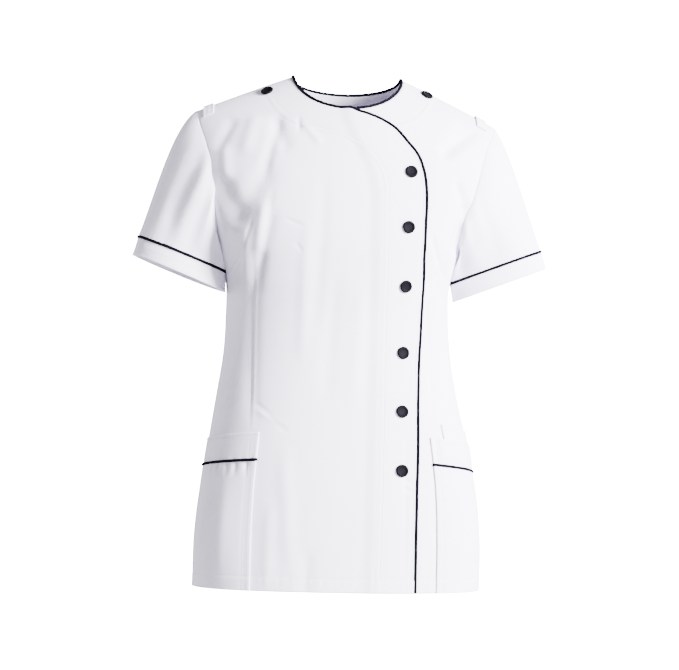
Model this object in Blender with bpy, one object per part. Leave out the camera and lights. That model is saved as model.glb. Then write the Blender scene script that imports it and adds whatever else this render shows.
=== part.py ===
"""Work blouse: a short-sleeved tunic with an overlapping front, built as the pieces it is sewn from.

Metres. +Z is up, the front faces -Y and +X is the wearer's left.
The origin is midway between the two shoulder seams, at the height of their neck ends.
The whole torso is one smooth surface, torso(turn, level). turn goes round it: 0 is the middle of
the front, a quarter turn is the wearer's left side. level goes from the hem up to SHOULDER_LEVEL,
the line over the shoulder. Each panel is a region of that surface with a cloth wall behind it.
"""

import math

import bpy
import numpy as np

# Cloth, gaps and trim

WALL = 0.0015
POCKET_WALL = 0.0012
GAP = 0.0004
ON_CLOTH = 0.0006
OVERLAP_LIFT = 0.0026
PIPING_RADIUS = 0.0014
PIPING_SIDES = 6
EDGE_TO_PIPING = PIPING_RADIUS + 0.0003
SEAM_TO_EDGE = PIPING_RADIUS + 0.0003

# The worn form, ring by ring: each level with its half width, depths and sideways sway

SHOULDER_LEVEL = 0.15
BUST_Z = -0.25
HEM_Z = -0.738
NECK_HALF_WIDTH = 0.080
SHOULDER_SLOPE = 0.46
SHOULDER_LEAN = 0.045
SHOULDER_ROUND = 0.05
SECTION_COLUMNS = ("place", "level", "half_width", "front", "back", "corner", "sway")
SECTIONS = (
    ("hem", -0.738, 0.2100, 0.118, 0.121, 0.020, -0.003),
    ("seat", -0.670, 0.2085, 0.119, 0.125, 0.022, -0.003),
    ("hip", -0.600, 0.2020, 0.118, 0.123, 0.025, -0.003),
    ("pocket_top", -0.530, 0.1900, 0.113, 0.112, 0.025, -0.004),
    ("high_hip", -0.460, 0.1740, 0.107, 0.095, 0.022, -0.005),
    ("waist", -0.400, 0.1645, 0.104, 0.084, 0.020, -0.006),
    ("rib", -0.350, 0.1615, 0.106, 0.081, 0.022, -0.007),
    ("under_bust", -0.300, 0.1625, 0.115, 0.087, 0.030, -0.007),
    ("bust", -0.250, 0.1780, 0.122, 0.096, 0.035, -0.005),
    ("chest", -0.130, 0.2200, 0.106, 0.108, 0.030, -0.002),
    ("collarbone", 0.000, 0.2300, 0.062, 0.060, 0.030, 0.000),
    ("shoulder_top", 0.100, 0.2320, 0.022, 0.021, 0.030, 0.000),
    ("shoulder", 0.150, 0.2330, 0.000, 0.000, 0.030, 0.000),
)

# The largest folds: start x and z, end x and z, half width across, and depth (minus is a hollow)

FOLD_COLUMNS = ("place", "x0", "z0", "x1", "z1", "width", "depth")
FOLDS = (
    ("right_armpit", -0.188, -0.150, -0.150, -0.232, 0.014, -0.0060),
    ("right_bust_roll", -0.118, -0.185, -0.126, -0.275, 0.010, 0.0035),
    ("right_dart", -0.108, -0.215, -0.132, -0.300, 0.006, -0.0030),
    ("right_waist", -0.132, -0.300, -0.132, -0.480, 0.007, -0.0025),
    ("left_armpit", 0.172, -0.180, 0.150, -0.262, 0.012, -0.0055),
    ("left_chest", 0.178, -0.062, 0.128, -0.122, 0.012, -0.0030),
    ("left_waist", 0.118, -0.320, 0.128, -0.480, 0.008, -0.0020),
    ("right_chest", -0.110, -0.060, -0.088, -0.125, 0.010, -0.0025),
)

# Cutting lines on the front, as x and z seen from straight ahead

NECK_DROP_FRONT = 0.0545
NECK_DROP_BACK = 0.018
OVERLAP_CORNER = 6
OVERLAP_EDGE = (
    (0.0000, -0.0545), (0.0125, -0.0595), (0.0300, -0.0650), (0.0470, -0.0725),
    (0.0650, -0.0845), (0.0785, -0.1000), (0.0980, -0.1270), (0.1055, -0.1556),
    (0.1070, -0.1840), (0.1060, -0.2130), (0.1050, -0.2550), (0.1048, -0.3250),
    (0.1038, -0.3670), (0.1022, -0.4050), (0.1016, -0.4400), (0.1018, -0.5370),
    (0.1008, -0.6000), (0.1006, -0.6630), (0.1010, HEM_Z),
)
UNDERLAP_EDGE = (
    (0.0060, -0.0543), (0.0120, -0.0800), (0.0270, -0.1100), (0.0420, -0.1400),
    (0.0500, -0.1800), (0.0520, -0.3400), (0.0515, -0.5000), (0.0490, HEM_Z),
)
NECK_PIPING_END_X = 0.0095
SHOULDER_TIP_X = 0.2186
ARMPIT_LEVEL = -0.243
ARMHOLE_FRONT = {
    -1: ((-0.2125, -0.0755), (-0.2020, -0.1083), (-0.1950, -0.1350), (-0.1922, -0.1600),
         (-0.1900, -0.1900), (-0.1860, -0.2180)),
    1: ((0.2150, -0.0740), (0.2010, -0.1065), (0.1930, -0.1330), (0.1855, -0.1600),
        (0.1745, -0.1950), (0.1690, -0.2200)),
}
ARMHOLE_BACK = ((0.2120, -0.0760), (0.2040, -0.1080), (0.1985, -0.1400), (0.1950, -0.1750),
                (0.1900, -0.2100))

# Sleeves and cuffs, one row a side: ring centres and half axes in metres, angles in degrees

SLEEVE_COLUMNS = ("seam_x", "seam_z", "hem_x", "hem_z", "tilt", "head_drop", "head_reach")
SLEEVES = {
    -1: (-0.2405, -0.2605, -0.2450, -0.2880, 21.0, 27.0, 0.80),
    1: (0.2240, -0.2700, 0.2290, -0.2965, 21.0, 48.0, 0.72),
}
SLEEVE_Y = -0.006
SEAM_HALF_AXES = (0.0670, 0.0430)
CUFF_HALF_AXES = (0.0705, 0.0450)
SLEEVE_AXIS_DEG = 20.0
SLEEVE_FOLDS = 5
SLEEVE_FOLD_DEPTH = 0.0016

# Pockets: inner edge x at the top and at the hem, and heights at the inner edge and at the side

POCKET_COLUMNS = ("top_x", "hem_x", "top", "top_side", "seam", "seam_side")
POCKETS = {
    -1: (-0.1229, -0.1303, -0.5161, -0.5265, -0.5545, -0.5650),
    1: (0.1220, 0.1345, -0.5196, -0.5310, -0.5572, -0.5665),
}
POCKET_SIDE_TURN = math.pi / 2 - 0.03
POCKET_FULLNESS = 0.0050
INNER_POCKET_X = 0.1380
INNER_POCKET_TOP = (-0.5002, -0.5120)
INNER_POCKET_FOOT = (-0.5360, -0.5420)

# Shoulder loops and buttons

LOOP_X = {-1: (-0.2065, -0.1925), 1: (0.1880, 0.2020)}
LOOP_DROP = 0.017
BUTTON_PROFILE = (
    (0.0000, 0.0021), (0.0048, 0.0021), (0.0060, 0.0029), (0.0076, 0.0031),
    (0.0088, 0.0022), (0.0090, 0.0009), (0.0080, 0.0000), (0.0000, 0.0000),
)
BUTTON_SIDES = 16
BUTTON_CLEARANCE = 0.0004
FRONT_BUTTONS = (
    (0.0862, -0.1452), (0.0825, -0.2241), (0.0810, -0.3062),
    (0.0800, -0.4004), (0.0798, -0.4837), (0.0805, -0.5666),
)
SHOULDER_BUTTONS = {-1: (-0.1165, -0.0270), 1: (0.1145, -0.0250)}

# Mesh steps along each seam and across each piece

SIDE_STEPS, ARMHOLE_STEPS, SHOULDER_STEPS = 15, 14, 5
PANEL_STEPS = SIDE_STEPS + ARMHOLE_STEPS + SHOULDER_STEPS
RIGHT_STEPS, LEFT_STEPS, BACK_STEPS = 19, 11, 20
SLEEVE_STEPS = 10
EVEN_OUT_ROUNDS = 400
TURN_METRES = 0.18


def through(knots, values, at):
    """The smooth curve through all the knots, read at those places (cubic Hermite pieces)."""
    knots, values, at = (np.asarray(n, float) for n in (knots, values, at))
    slopes = np.gradient(values, knots)
    i = np.clip(np.searchsorted(knots, at, side="right") - 1, 0, len(knots) - 2)
    step = knots[i + 1] - knots[i]
    t = (at - knots[i]) / step
    return (
        values[i] * (1 + 2 * t) * (1 - t) ** 2
        + slopes[i] * step * t * (1 - t) ** 2
        + values[i + 1] * t * t * (3 - 2 * t)
        + slopes[i + 1] * step * t * t * (t - 1)
    )


def smooth_step(t):
    """0 before t is 0, 1 after t is 1, and an easy slope between."""
    t = np.clip(t, 0, 1)
    return t * t * (3 - 2 * t)


def section(column, level):
    """One column of SECTIONS, read at any level."""
    place = SECTION_COLUMNS.index(column)
    return through([row[1] for row in SECTIONS], [row[place] for row in SECTIONS], level)


def shoulder_z(x):
    """Height of the shoulder line at x: straight slopes, rounded over the middle."""
    reach = np.hypot(x, SHOULDER_ROUND)
    slope = SHOULDER_SLOPE + SHOULDER_LEAN * x / reach
    return slope * (math.hypot(NECK_HALF_WIDTH, SHOULDER_ROUND) - reach)


def fold_height(x, z):
    """How far the folds push the front in or out: each is a Gaussian ridge along its line."""
    total = np.zeros(np.broadcast(x, z).shape)
    for _, x0, z0, x1, z1, width, depth in FOLDS:
        run = np.array([x1 - x0, z1 - z0])
        t = ((x - x0) * run[0] + (z - z0) * run[1]) / (run @ run)
        near = np.clip(t, 0.1, 0.9)
        away = np.hypot(x - x0 - near * run[0], z - z0 - near * run[1])
        total = total + depth * np.exp(-((away / width) ** 2))
    return total


def torso(turn, level):
    """The outside of the cloth. Above SHOULDER_LEVEL the surface carries on down the other side."""
    turn, level = np.broadcast_arrays(np.asarray(turn, float), np.asarray(level, float))
    over = level > SHOULDER_LEVEL
    turn = np.where(over, math.pi - turn, turn)
    level = np.where(over, 2 * SHOULDER_LEVEL - level, level)
    corner = section("corner", level)
    across = (np.sin(turn) + corner * np.sin(3 * turn)) / (1 - corner)
    depth = (np.cos(turn) - corner * np.cos(3 * turn)) / (1 - corner)
    x = section("half_width", level) * across + section("sway", level)
    front = np.cos(turn) > 0
    y = -depth * np.where(front, section("front", level), section("back", level))
    swing = math.pi / 2 * (SHOULDER_LEVEL - level) / (SHOULDER_LEVEL - BUST_Z)
    z = np.where(level < BUST_Z, level, BUST_Z + (shoulder_z(x) - BUST_Z) * np.cos(swing))
    push = np.where(front, fold_height(x, z) * smooth_step(-y / 0.03), 0.0)
    return np.stack([x + push * np.sin(turn), y - push * np.cos(turn), z], -1)


def torso_normal(turn, level):
    """Unit outward normals, from points a little to each side."""
    e = 0.002
    round_it = torso(turn + e, level) - torso(turn - e, level)
    up = torso(turn, level + e) - torso(turn, level - e)
    normal = np.cross(round_it, up)
    return normal / np.linalg.norm(normal, axis=-1, keepdims=True)


def place_of(x, z, back=False):
    """The (turn, level) of the point of the front, or of the back, that shows at x and z."""
    x, z = np.asarray(x, float), np.asarray(z, float)
    swing = np.arccos(np.clip((z - BUST_Z) / (shoulder_z(x) - BUST_Z), -1, 1))
    above = SHOULDER_LEVEL - (SHOULDER_LEVEL - BUST_Z) * swing / (math.pi / 2)
    level = np.where(z < BUST_Z, z, above)
    corner = section("corner", level)
    wanted = np.clip((x - section("sway", level)) / section("half_width", level), -1, 1)
    s = wanted = wanted * (1 - corner)
    for _ in range(12):
        s = s - (s + corner * (3 * s - 4 * s**3) - wanted) / (1 + corner * (3 - 12 * s * s))
    turn = np.arcsin(np.clip(s, -1, 1))
    return np.stack([math.pi - turn if back else turn, level], -1)


def at(path, out=0.0):
    """Points of the surface at each (turn, level) of a path or grid, moved out along the normal."""
    turn, level = path[..., 0], path[..., 1]
    return torso(turn, level) + np.asarray(out)[..., None] * torso_normal(turn, level)


def curved(path):
    """A close-set path through the given (turn, level) points."""
    path = np.asarray(path, float)
    run = np.concatenate([[0], np.cumsum(np.linalg.norm(np.diff(path, axis=0), axis=1))])
    fine = np.linspace(0, run[-1], 30 * len(path))
    return np.stack([through(run, path[:, k], fine) for k in (0, 1)], -1)


def evenly(path, count):
    """The path again as count steps, equally long over the cloth."""
    fine = np.linspace(0, len(path) - 1, max(400, 4 * len(path)))
    fine = np.stack([np.interp(fine, np.arange(len(path)), path[:, k]) for k in (0, 1)], -1)
    steps = np.linalg.norm(np.diff(torso(fine[:, 0], fine[:, 1]), axis=0), axis=1)
    run = np.concatenate([[0], np.cumsum(steps)])
    spaced = np.linspace(0, run[-1], count + 1)
    return np.stack([np.interp(spaced, run, fine[:, k]) for k in (0, 1)], -1)


def straight(start, end, count):
    return evenly(np.array([start, end], float), count)


def between(first, last, foot, head):
    """A grid of (turn, level) filled in between four edge paths (a Coons patch).

    first and last run upward, foot and head run from first to last, and their corners agree.
    """
    v = np.linspace(0, 1, len(first))[:, None, None]
    u = np.linspace(0, 1, len(foot))[None, :, None]
    sides = (1 - u) * first[:, None] + u * last[:, None]
    ends = (1 - v) * foot[None] + v * head[None]
    corners = (1 - v) * ((1 - u) * foot[0] + u * foot[-1]) + v * ((1 - u) * head[0] + u * head[-1])
    return evened_out(sides + ends - corners)


def evened_out(grid):
    """The grid with its inner points moved until no cell is folded over or squashed.

    Each round puts every inner point where the Winslow equation has it, from its eight neighbours.
    """
    g = grid * (TURN_METRES, 1)
    for _ in range(EVEN_OUT_ROUNDS):
        east, west, north, south = g[1:-1, 2:], g[1:-1, :-2], g[2:, 1:-1], g[:-2, 1:-1]
        across, up = (east - west) / 2, (north - south) / 2
        a = (up**2).sum(-1, keepdims=True)
        b = (across * up).sum(-1, keepdims=True)
        c = (across**2).sum(-1, keepdims=True)
        skew = (g[2:, 2:] - g[2:, :-2] - g[:-2, 2:] + g[:-2, :-2]) / 4
        g[1:-1, 1:-1] = (a * (east + west) + c * (north + south) - 2 * b * skew) / (2 * (a + c))
    return g / (TURN_METRES, 1)


def add_mesh(name, points, faces):
    """A closed mesh object that faces outward."""
    points = np.asarray(points, float)
    volume = 0.0
    for face in faces:
        a = points[face[0]]
        for b, c in zip(face[1:-1], face[2:]):
            volume += float(np.dot(a, np.cross(points[b], points[c])))
    if volume < 0:
        faces = [tuple(reversed(face)) for face in faces]
    mesh = bpy.data.meshes.new(name)
    mesh.from_pydata(points.tolist(), [], faces)
    mesh.update()
    made = bpy.data.objects.new(name, mesh)
    bpy.context.scene.collection.objects.link(made)
    return made


def add_wall(name, outer, inner, ring=False):
    """Cloth between two grids of points, closed along its rims. A ring also joins last to first."""
    rows, columns = outer.shape[:2]
    count = rows * columns
    step_columns = columns if ring else columns - 1
    spots, faces = outer.reshape(-1, 3), []

    def corner(i, j):
        return i * columns + j % columns

    for i in range(rows - 1):
        for j in range(step_columns):
            a, b, c, d = corner(i, j), corner(i, j + 1), corner(i + 1, j + 1), corner(i + 1, j)
            if np.linalg.norm(spots[a] - spots[c]) > np.linalg.norm(spots[b] - spots[d]):
                a, b, c, d = b, c, d, a
            for p, q, r in ((a, b, c), (a, c, d)):
                faces += [(p, q, r), (count + r, count + q, count + p)]
    for i, turned in ((0, False), (rows - 1, True)):
        for j in range(step_columns):
            a, b = corner(i, j), corner(i, j + 1)
            rim = (b, a, count + a, count + b)
            faces.append(tuple(reversed(rim)) if turned else rim)
    if not ring:
        for j, turned in ((0, False), (columns - 1, True)):
            for i in range(rows - 1):
                a, b = corner(i, j), corner(i + 1, j)
                rim = (a, b, count + b, count + a)
                faces.append(tuple(reversed(rim)) if turned else rim)
    points = np.concatenate([outer.reshape(-1, 3), inner.reshape(-1, 3)])
    return add_mesh(name, points, faces)


def add_cord(name, line, normals, sideways, ring=False):
    """Piping: a round cord of PIPING_RADIUS along a line, with the two directions across it."""
    angles = np.arange(PIPING_SIDES) * 2 * math.pi / PIPING_SIDES
    across = np.cos(angles)[None, :, None] * sideways[:, None] + np.sin(angles)[None, :, None] * normals[:, None]
    points = (line[:, None] + PIPING_RADIUS * across).reshape(-1, 3)
    count, faces = len(line), []
    for i in range(count if ring else count - 1):
        for j in range(PIPING_SIDES):
            a, b = i * PIPING_SIDES, (i + 1) % count * PIPING_SIDES
            k = (j + 1) % PIPING_SIDES
            faces.append((a + j, a + k, b + k, b + j))
    if not ring:
        last = (count - 1) * PIPING_SIDES
        faces.append(tuple(reversed(range(PIPING_SIDES))))
        faces.append(tuple(range(last, last + PIPING_SIDES)))
    return add_mesh(name, points, faces)


def across_line(line, normals, ring=False):
    """Unit vectors square to the line and to the normals."""
    if ring:
        along = np.roll(line, -1, 0) - np.roll(line, 1, 0)
    else:
        along = np.gradient(line, axis=0)
    out = np.cross(along, normals)
    return out / np.linalg.norm(out, axis=1, keepdims=True)


def overlap_lift(path):
    """How far the overlapping front stands off: nothing, then full over the underlap."""
    points = at(path)
    x, z = points[..., 0], points[..., 2]
    edge = np.array(UNDERLAP_EDGE)[::-1]
    start = np.interp(z, edge[:, 1], edge[:, 0])
    return OVERLAP_LIFT * smooth_step((x - start + 0.024) / 0.020)


# Paths of the seams

neck_points = {side: place_of(side * NECK_HALF_WIDTH, 0.0) for side in (-1, 1)}
tips = {side: place_of(side * SHOULDER_TIP_X, shoulder_z(side * SHOULDER_TIP_X)) for side in (-1, 1)}
for ends in (neck_points, tips):
    for side in ends:
        ends[side][1] = SHOULDER_LEVEL


def to_back(path):
    """The same seam path, reached from the back."""
    return np.stack([math.pi - path[..., 0], path[..., 1]], -1)


def armhole(side, back):
    """The armhole from the armpit up to the shoulder tip."""
    if back:
        marks = [place_of(side * x, z, back=True) for x, z in ARMHOLE_BACK]
        foot, head = (math.pi - side * math.pi / 2, ARMPIT_LEVEL), to_back(tips[side])
    else:
        marks = [place_of(x, z) for x, z in ARMHOLE_FRONT[side]]
        foot, head = (side * math.pi / 2, ARMPIT_LEVEL), tips[side]
    return evenly(curved([foot, *reversed(marks), head]), ARMHOLE_STEPS)


def outer_seam(side, back):
    """Side seam, armhole and shoulder seam as one path, from the hem up to the neck."""
    turn = math.pi - side * math.pi / 2 if back else side * math.pi / 2
    up_side = straight((turn, HEM_Z), (turn, ARMPIT_LEVEL), SIDE_STEPS)
    shoulder = straight(tips[side], neck_points[side], SHOULDER_STEPS)
    shoulder = to_back(shoulder) if back else shoulder
    return np.concatenate([up_side[:-1], armhole(side, back), shoulder[1:]])


def neckline(first_x, last_x, drop, back, count):
    """Part of the neck curve, which is an ellipse seen from straight ahead."""
    x = np.linspace(first_x, last_x, 200)
    angle = np.linspace(math.acos(first_x / NECK_HALF_WIDTH), math.acos(last_x / NECK_HALF_WIDTH), 200)
    x = NECK_HALF_WIDTH * np.cos(angle)
    path = place_of(x, -drop * np.sin(angle), back)
    return evenly(path, count)


def sleeve_grid(side):
    """Sleeve points from the armhole (first row) to the cuff seam, round from the shoulder tip."""
    seam_x, seam_z, _, _, tilt, drop, reach = SLEEVES[side]
    start = armhole_ring(side)
    end, angle = cuff_ring(side, (seam_x, seam_z), SEAM_HALF_AXES)
    high = np.array([side * math.cos(math.radians(drop)), 0, -math.sin(math.radians(drop))])
    low = np.array([side * 0.12, 0, -1.0])
    w = ((1 + np.cos(angle)) / 2)[:, None]
    leave = w * high * reach + (1 - w) * low + np.sin(angle)[:, None] * np.array([0, -0.30, 0])
    axis = sleeve_axis(side)
    long = np.linalg.norm(end - start, axis=1, keepdims=True)
    t = np.linspace(0, 1, SLEEVE_STEPS + 1)[:, None, None]
    grid = (
        (1 + 2 * t) * (1 - t) ** 2 * start
        + t * (1 - t) ** 2 * long * leave
        + t * t * (3 - 2 * t) * end
        + t * t * (t - 1) * long * axis
    )
    ripple = SLEEVE_FOLD_DEPTH * np.sin(SLEEVE_FOLDS * angle + 0.6) * (1 - w[:, 0] ** 4)
    return grid + (ripple * np.sin(math.pi * t[..., 0]) ** 2)[..., None] * ring_normals(grid)


def sleeve_axis(side):
    lean = math.radians(SLEEVE_AXIS_DEG)
    return np.array([side * math.sin(lean), 0, -math.cos(lean)])


def armhole_ring(side):
    """Armhole points from the shoulder tip, down the front, and up the back."""
    front, back = at(armhole(side, False)), at(armhole(side, True))
    return np.concatenate([front[::-1], back[1:-1]])


def cuff_ring(side, centre, half_axes):
    """An ellipse of points square to the sleeve, and the angle of each, 0 at the outer end."""
    tilt = math.radians(SLEEVES[side][4])
    angle = np.arange(2 * ARMHOLE_STEPS) * math.pi / ARMHOLE_STEPS
    outward = np.array([side * math.cos(tilt), 0, math.sin(tilt)])
    ring = np.array([centre[0], SLEEVE_Y, centre[1]])
    ring = ring + half_axes[0] * np.cos(angle)[:, None] * outward
    return ring - half_axes[1] * np.sin(angle)[:, None] * np.array([0, 1, 0]), angle


def ring_normals(grid):
    """Unit outward normals of rows of rings."""
    round_it = np.roll(grid, -1, 1) - np.roll(grid, 1, 1)
    normal = np.cross(round_it, np.gradient(grid, axis=0))
    away = (normal * (grid - grid.mean(1, keepdims=True))).sum(-1).mean(-1)
    normal = normal * np.sign(away)[:, None, None]
    return normal / np.linalg.norm(normal, axis=-1, keepdims=True)


def armhole_join(side):
    """At each ring point: the direction through both walls, and the one from panel to sleeve."""
    ring = armhole_ring(side)
    paths = (armhole(side, False)[::-1], armhole(side, True)[1:-1])
    panel = np.concatenate([torso_normal(p[:, 0], p[:, 1]) for p in paths])
    total = panel + ring_normals(sleeve_grid(side))[0]
    total[[0, ARMHOLE_STEPS], 1] = 0.0
    size = np.linalg.norm(total, axis=1, keepdims=True)
    through_both = total / size
    apart = across_line(ring, through_both, ring=True)
    apart = apart * np.sign(apart[:, :1] * side)
    return through_both * np.minimum(2 / size, 1.5), apart


joins = {side: armhole_join(side) for side in (-1, 1)}


def panel_faces(grid, lift, seams, back):
    """Outer and inner points of a panel, with its seam edges drawn back by half the gap.

    seams gives, for each edge column that is an outer seam, the side that it is on.
    """
    outer = at(grid, lift)
    normals = torso_normal(grid[..., 0], grid[..., 1])
    armhole_rows = np.arange(SIDE_STEPS, SIDE_STEPS + ARMHOLE_STEPS + 1)
    ring_count = 2 * ARMHOLE_STEPS
    for column, side in seams.items():
        steps = SIDE_STEPS + ARMHOLE_STEPS - armhole_rows
        ring = (ring_count - steps) % ring_count if back else steps
        normals[armhole_rows, column] = joins[side][0][ring]
    inner = outer - WALL * normals
    for column, side in seams.items():
        steps = SIDE_STEPS + ARMHOLE_STEPS - armhole_rows
        ring = (ring_count - steps) % ring_count if back else steps
        plain = np.concatenate([np.arange(SIDE_STEPS + 1), np.arange(armhole_rows[-1], PANEL_STEPS + 1)])
        for points in (outer, inner):
            points[plain, column, 1] += GAP / 2 if back else -GAP / 2
            points[armhole_rows, column] -= joins[side][1][ring] * GAP / 2
    return outer, inner


# Start from an empty scene

for old in list(bpy.data.objects):
    bpy.data.objects.remove(old, do_unlink=True)

# Front panels, back panel and the piping of their edges

edge = np.array(OVERLAP_EDGE)
edge_path = curved([place_of(x, z) for x, z in edge])
corner_at = int(np.argmin(np.abs(at(edge_path)[:, 2] - edge[OVERLAP_CORNER, 1])))
right_neck = neckline(-NECK_HALF_WIDTH + 1e-9, 0.0, NECK_DROP_FRONT, False, 60)
right_neck[0] = neck_points[-1]
right_head = evenly(np.concatenate([right_neck, edge_path[1 : corner_at + 1]]), RIGHT_STEPS)
right_edge = evenly(edge_path[corner_at:][::-1], PANEL_STEPS)
right_foot = straight((-math.pi / 2, HEM_Z), right_edge[0], RIGHT_STEPS)
right_grid = between(outer_seam(-1, False), right_edge, right_foot, right_head)
add_wall("front_right", *panel_faces(right_grid, overlap_lift(right_grid), {0: -1}, False))

left_edge = evenly(curved([place_of(x, z) for x, z in UNDERLAP_EDGE])[::-1], PANEL_STEPS)
left_head = neckline(NECK_HALF_WIDTH - 1e-9, UNDERLAP_EDGE[0][0], NECK_DROP_FRONT, False, LEFT_STEPS)
left_head[0], left_head[-1] = neck_points[1], left_edge[-1]
left_foot = straight((math.pi / 2, HEM_Z), left_edge[0], LEFT_STEPS)
left_grid = between(outer_seam(1, False), left_edge, left_foot, left_head)
add_wall("front_left", *panel_faces(left_grid, np.zeros(left_grid.shape[:2]), {0: 1}, False))

back_head = neckline(NECK_HALF_WIDTH - 1e-9, -NECK_HALF_WIDTH + 1e-9, NECK_DROP_BACK, True, BACK_STEPS)
back_head[0], back_head[-1] = to_back(neck_points[1]), to_back(neck_points[-1])
back_foot = straight((math.pi / 2, HEM_Z), (3 * math.pi / 2, HEM_Z), BACK_STEPS)
back_grid = between(outer_seam(1, True), outer_seam(-1, True), back_foot, back_head)
back_seams = {0: 1, BACK_STEPS: -1}
add_wall("back", *panel_faces(back_grid, np.zeros(back_grid.shape[:2]), back_seams, True))


def edge_piping(name, path, lift, outward):
    """Piping just outside a panel edge, level with the middle of its wall.

    outward is +1 or -1 and says on which side of the path the panel is not.
    """
    points, normals = at(path), torso_normal(path[:, 0], path[:, 1])
    sideways = outward * across_line(points, normals)
    line = points + sideways * EDGE_TO_PIPING + normals * (lift - WALL / 2)[:, None]
    for end, inner in ((0, 1), (-1, -2)):
        step = line[inner] - line[end]
        line[end] = line[end] + step / np.linalg.norm(step) * GAP
    add_cord(name, line, normals, sideways)


front_path = np.concatenate([right_head, right_edge[::-1][1:]])
edge_piping("front_piping", front_path, overlap_lift(front_path), -1)
neck_front = left_head[::-1]
neck_front = neck_front[at(neck_front)[:, 0] > NECK_PIPING_END_X]
neck_path = np.concatenate([neck_front[:-1], back_head])
edge_piping("neck_piping", neck_path, np.zeros(len(neck_path)), -1)

# Sleeves, cuffs and cuff piping

NAMES = {-1: "right", 1: "left"}
for side in (-1, 1):
    seam_x, seam_z, hem_x, hem_z = SLEEVES[side][:4]
    axis = sleeve_axis(side)
    outer = sleeve_grid(side)
    normals = ring_normals(outer)
    normals[0] = joins[side][0]
    inner = outer - WALL * normals
    for points in (outer, inner):
        points[0] += joins[side][1] * GAP / 2
        points[-1] -= axis * SEAM_TO_EDGE
    add_wall("sleeve_" + NAMES[side], outer, inner, ring=True)

    top, angle = cuff_ring(side, (seam_x, seam_z), SEAM_HALF_AXES)
    bottom, angle = cuff_ring(side, (hem_x, hem_z), CUFF_HALF_AXES)
    t = np.array([0, 0.5, 1])[:, None, None]
    cuff = top * (1 - t) + bottom * t
    cuff[0] += axis * SEAM_TO_EDGE
    add_wall("cuff_" + NAMES[side], cuff, cuff - WALL * ring_normals(cuff), ring=True)
    away = ring_normals(np.stack([top - axis * 0.01, top, top + axis * 0.01]))[1]
    line = top + away * (PIPING_RADIUS - WALL)
    add_cord("cuff_piping_" + NAMES[side], line, away, np.broadcast_to(axis, away.shape), ring=True)

# Pockets: body, piping and band lie on the front panels

for side in (-1, 1):
    top_x, hem_x, top, top_side, seam, seam_side = POCKETS[side]
    turn_top, turn_hem = place_of(top_x, top)[0], place_of(hem_x, HEM_Z)[0]
    side_turn = side * POCKET_SIDE_TURN

    def inner_turn(z):
        return turn_top + (turn_hem - turn_top) * (top - z) / (top - HEM_Z)

    def patch(high, high_side, low, low_side, rows, columns):
        """A four-cornered region between the pocket's inner edge and the side seam."""
        u, v = np.linspace(0, 1, columns + 1)[None, :], np.linspace(0, 1, rows + 1)[:, None]
        level = (1 - v) * (low + (low_side - low) * u) + v * (high + (high_side - high) * u)
        start = inner_turn((1 - v) * low + v * high)
        return np.stack([start + (side_turn - start) * u, level], -1), u, v

    body, u, v = patch(seam - SEAM_TO_EDGE, seam_side - SEAM_TO_EDGE, HEM_Z, HEM_Z, 10, 9)
    swell = ON_CLOTH + POCKET_FULLNESS * np.sin(math.pi * u) * np.sin(math.pi * (0.08 + 0.9 * v)) ** 0.8
    add_wall("pocket_" + NAMES[side], at(body, swell + POCKET_WALL), at(body, swell))

    band, u, v = patch(top, top_side, seam + SEAM_TO_EDGE, seam_side + SEAM_TO_EDGE, 4, 9)
    stand = np.full(band.shape[:2], ON_CLOTH)
    if side > 0:
        inner_start = place_of(INNER_POCKET_X, top)[0]
        over_inner = smooth_step((band[..., 0] - inner_start + 0.06) / 0.04)
        stand = stand + (POCKET_WALL + ON_CLOTH) * over_inner * smooth_step(v / 0.45)
    add_wall("pocket_band_" + NAMES[side], at(band, stand + POCKET_WALL), at(band, stand))

    steps = np.linspace(0, 1, 10)
    start = inner_turn(seam)
    path = np.stack([start + (side_turn - start) * steps, seam + (seam_side - seam) * steps], -1)
    normals = torso_normal(path[:, 0], path[:, 1])
    line = at(path, ON_CLOTH + PIPING_RADIUS)
    add_cord("pocket_piping_" + NAMES[side], line, normals, across_line(line, normals))

u, v = np.linspace(0, 1, 7)[None, :], np.linspace(0, 1, 4)[:, None]
start = place_of(INNER_POCKET_X, INNER_POCKET_TOP[0])[0]
level = (1 - v) * (INNER_POCKET_FOOT[0] + (INNER_POCKET_FOOT[1] - INNER_POCKET_FOOT[0]) * u)
level = level + v * (INNER_POCKET_TOP[0] + (INNER_POCKET_TOP[1] - INNER_POCKET_TOP[0]) * u)
inner_pocket = np.stack([start + (POCKET_SIDE_TURN - start) * u + 0 * v, level], -1)
add_wall("pocket_inner_left", at(inner_pocket, ON_CLOTH + POCKET_WALL), at(inner_pocket, ON_CLOTH))

# Loops over the shoulder seams

for side in (-1, 1):
    x = np.linspace(*LOOP_X[side], 4)[None, :]
    drop = np.linspace(1, 0, 6)[:, None] ** 1.3 * LOOP_DROP
    front = place_of(x + 0 * drop, shoulder_z(x) - drop)
    front[-1, :, 1] = SHOULDER_LEVEL
    back = to_back(front[::-1][1:])
    rows = np.concatenate([at(front, ON_CLOTH), at(back, ON_CLOTH)])
    normals = np.concatenate([torso_normal(p[..., 0], p[..., 1]) for p in (front, back)])
    add_wall("shoulder_loop_" + NAMES[side], rows + POCKET_WALL * normals, rows)

# Buttons


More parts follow.
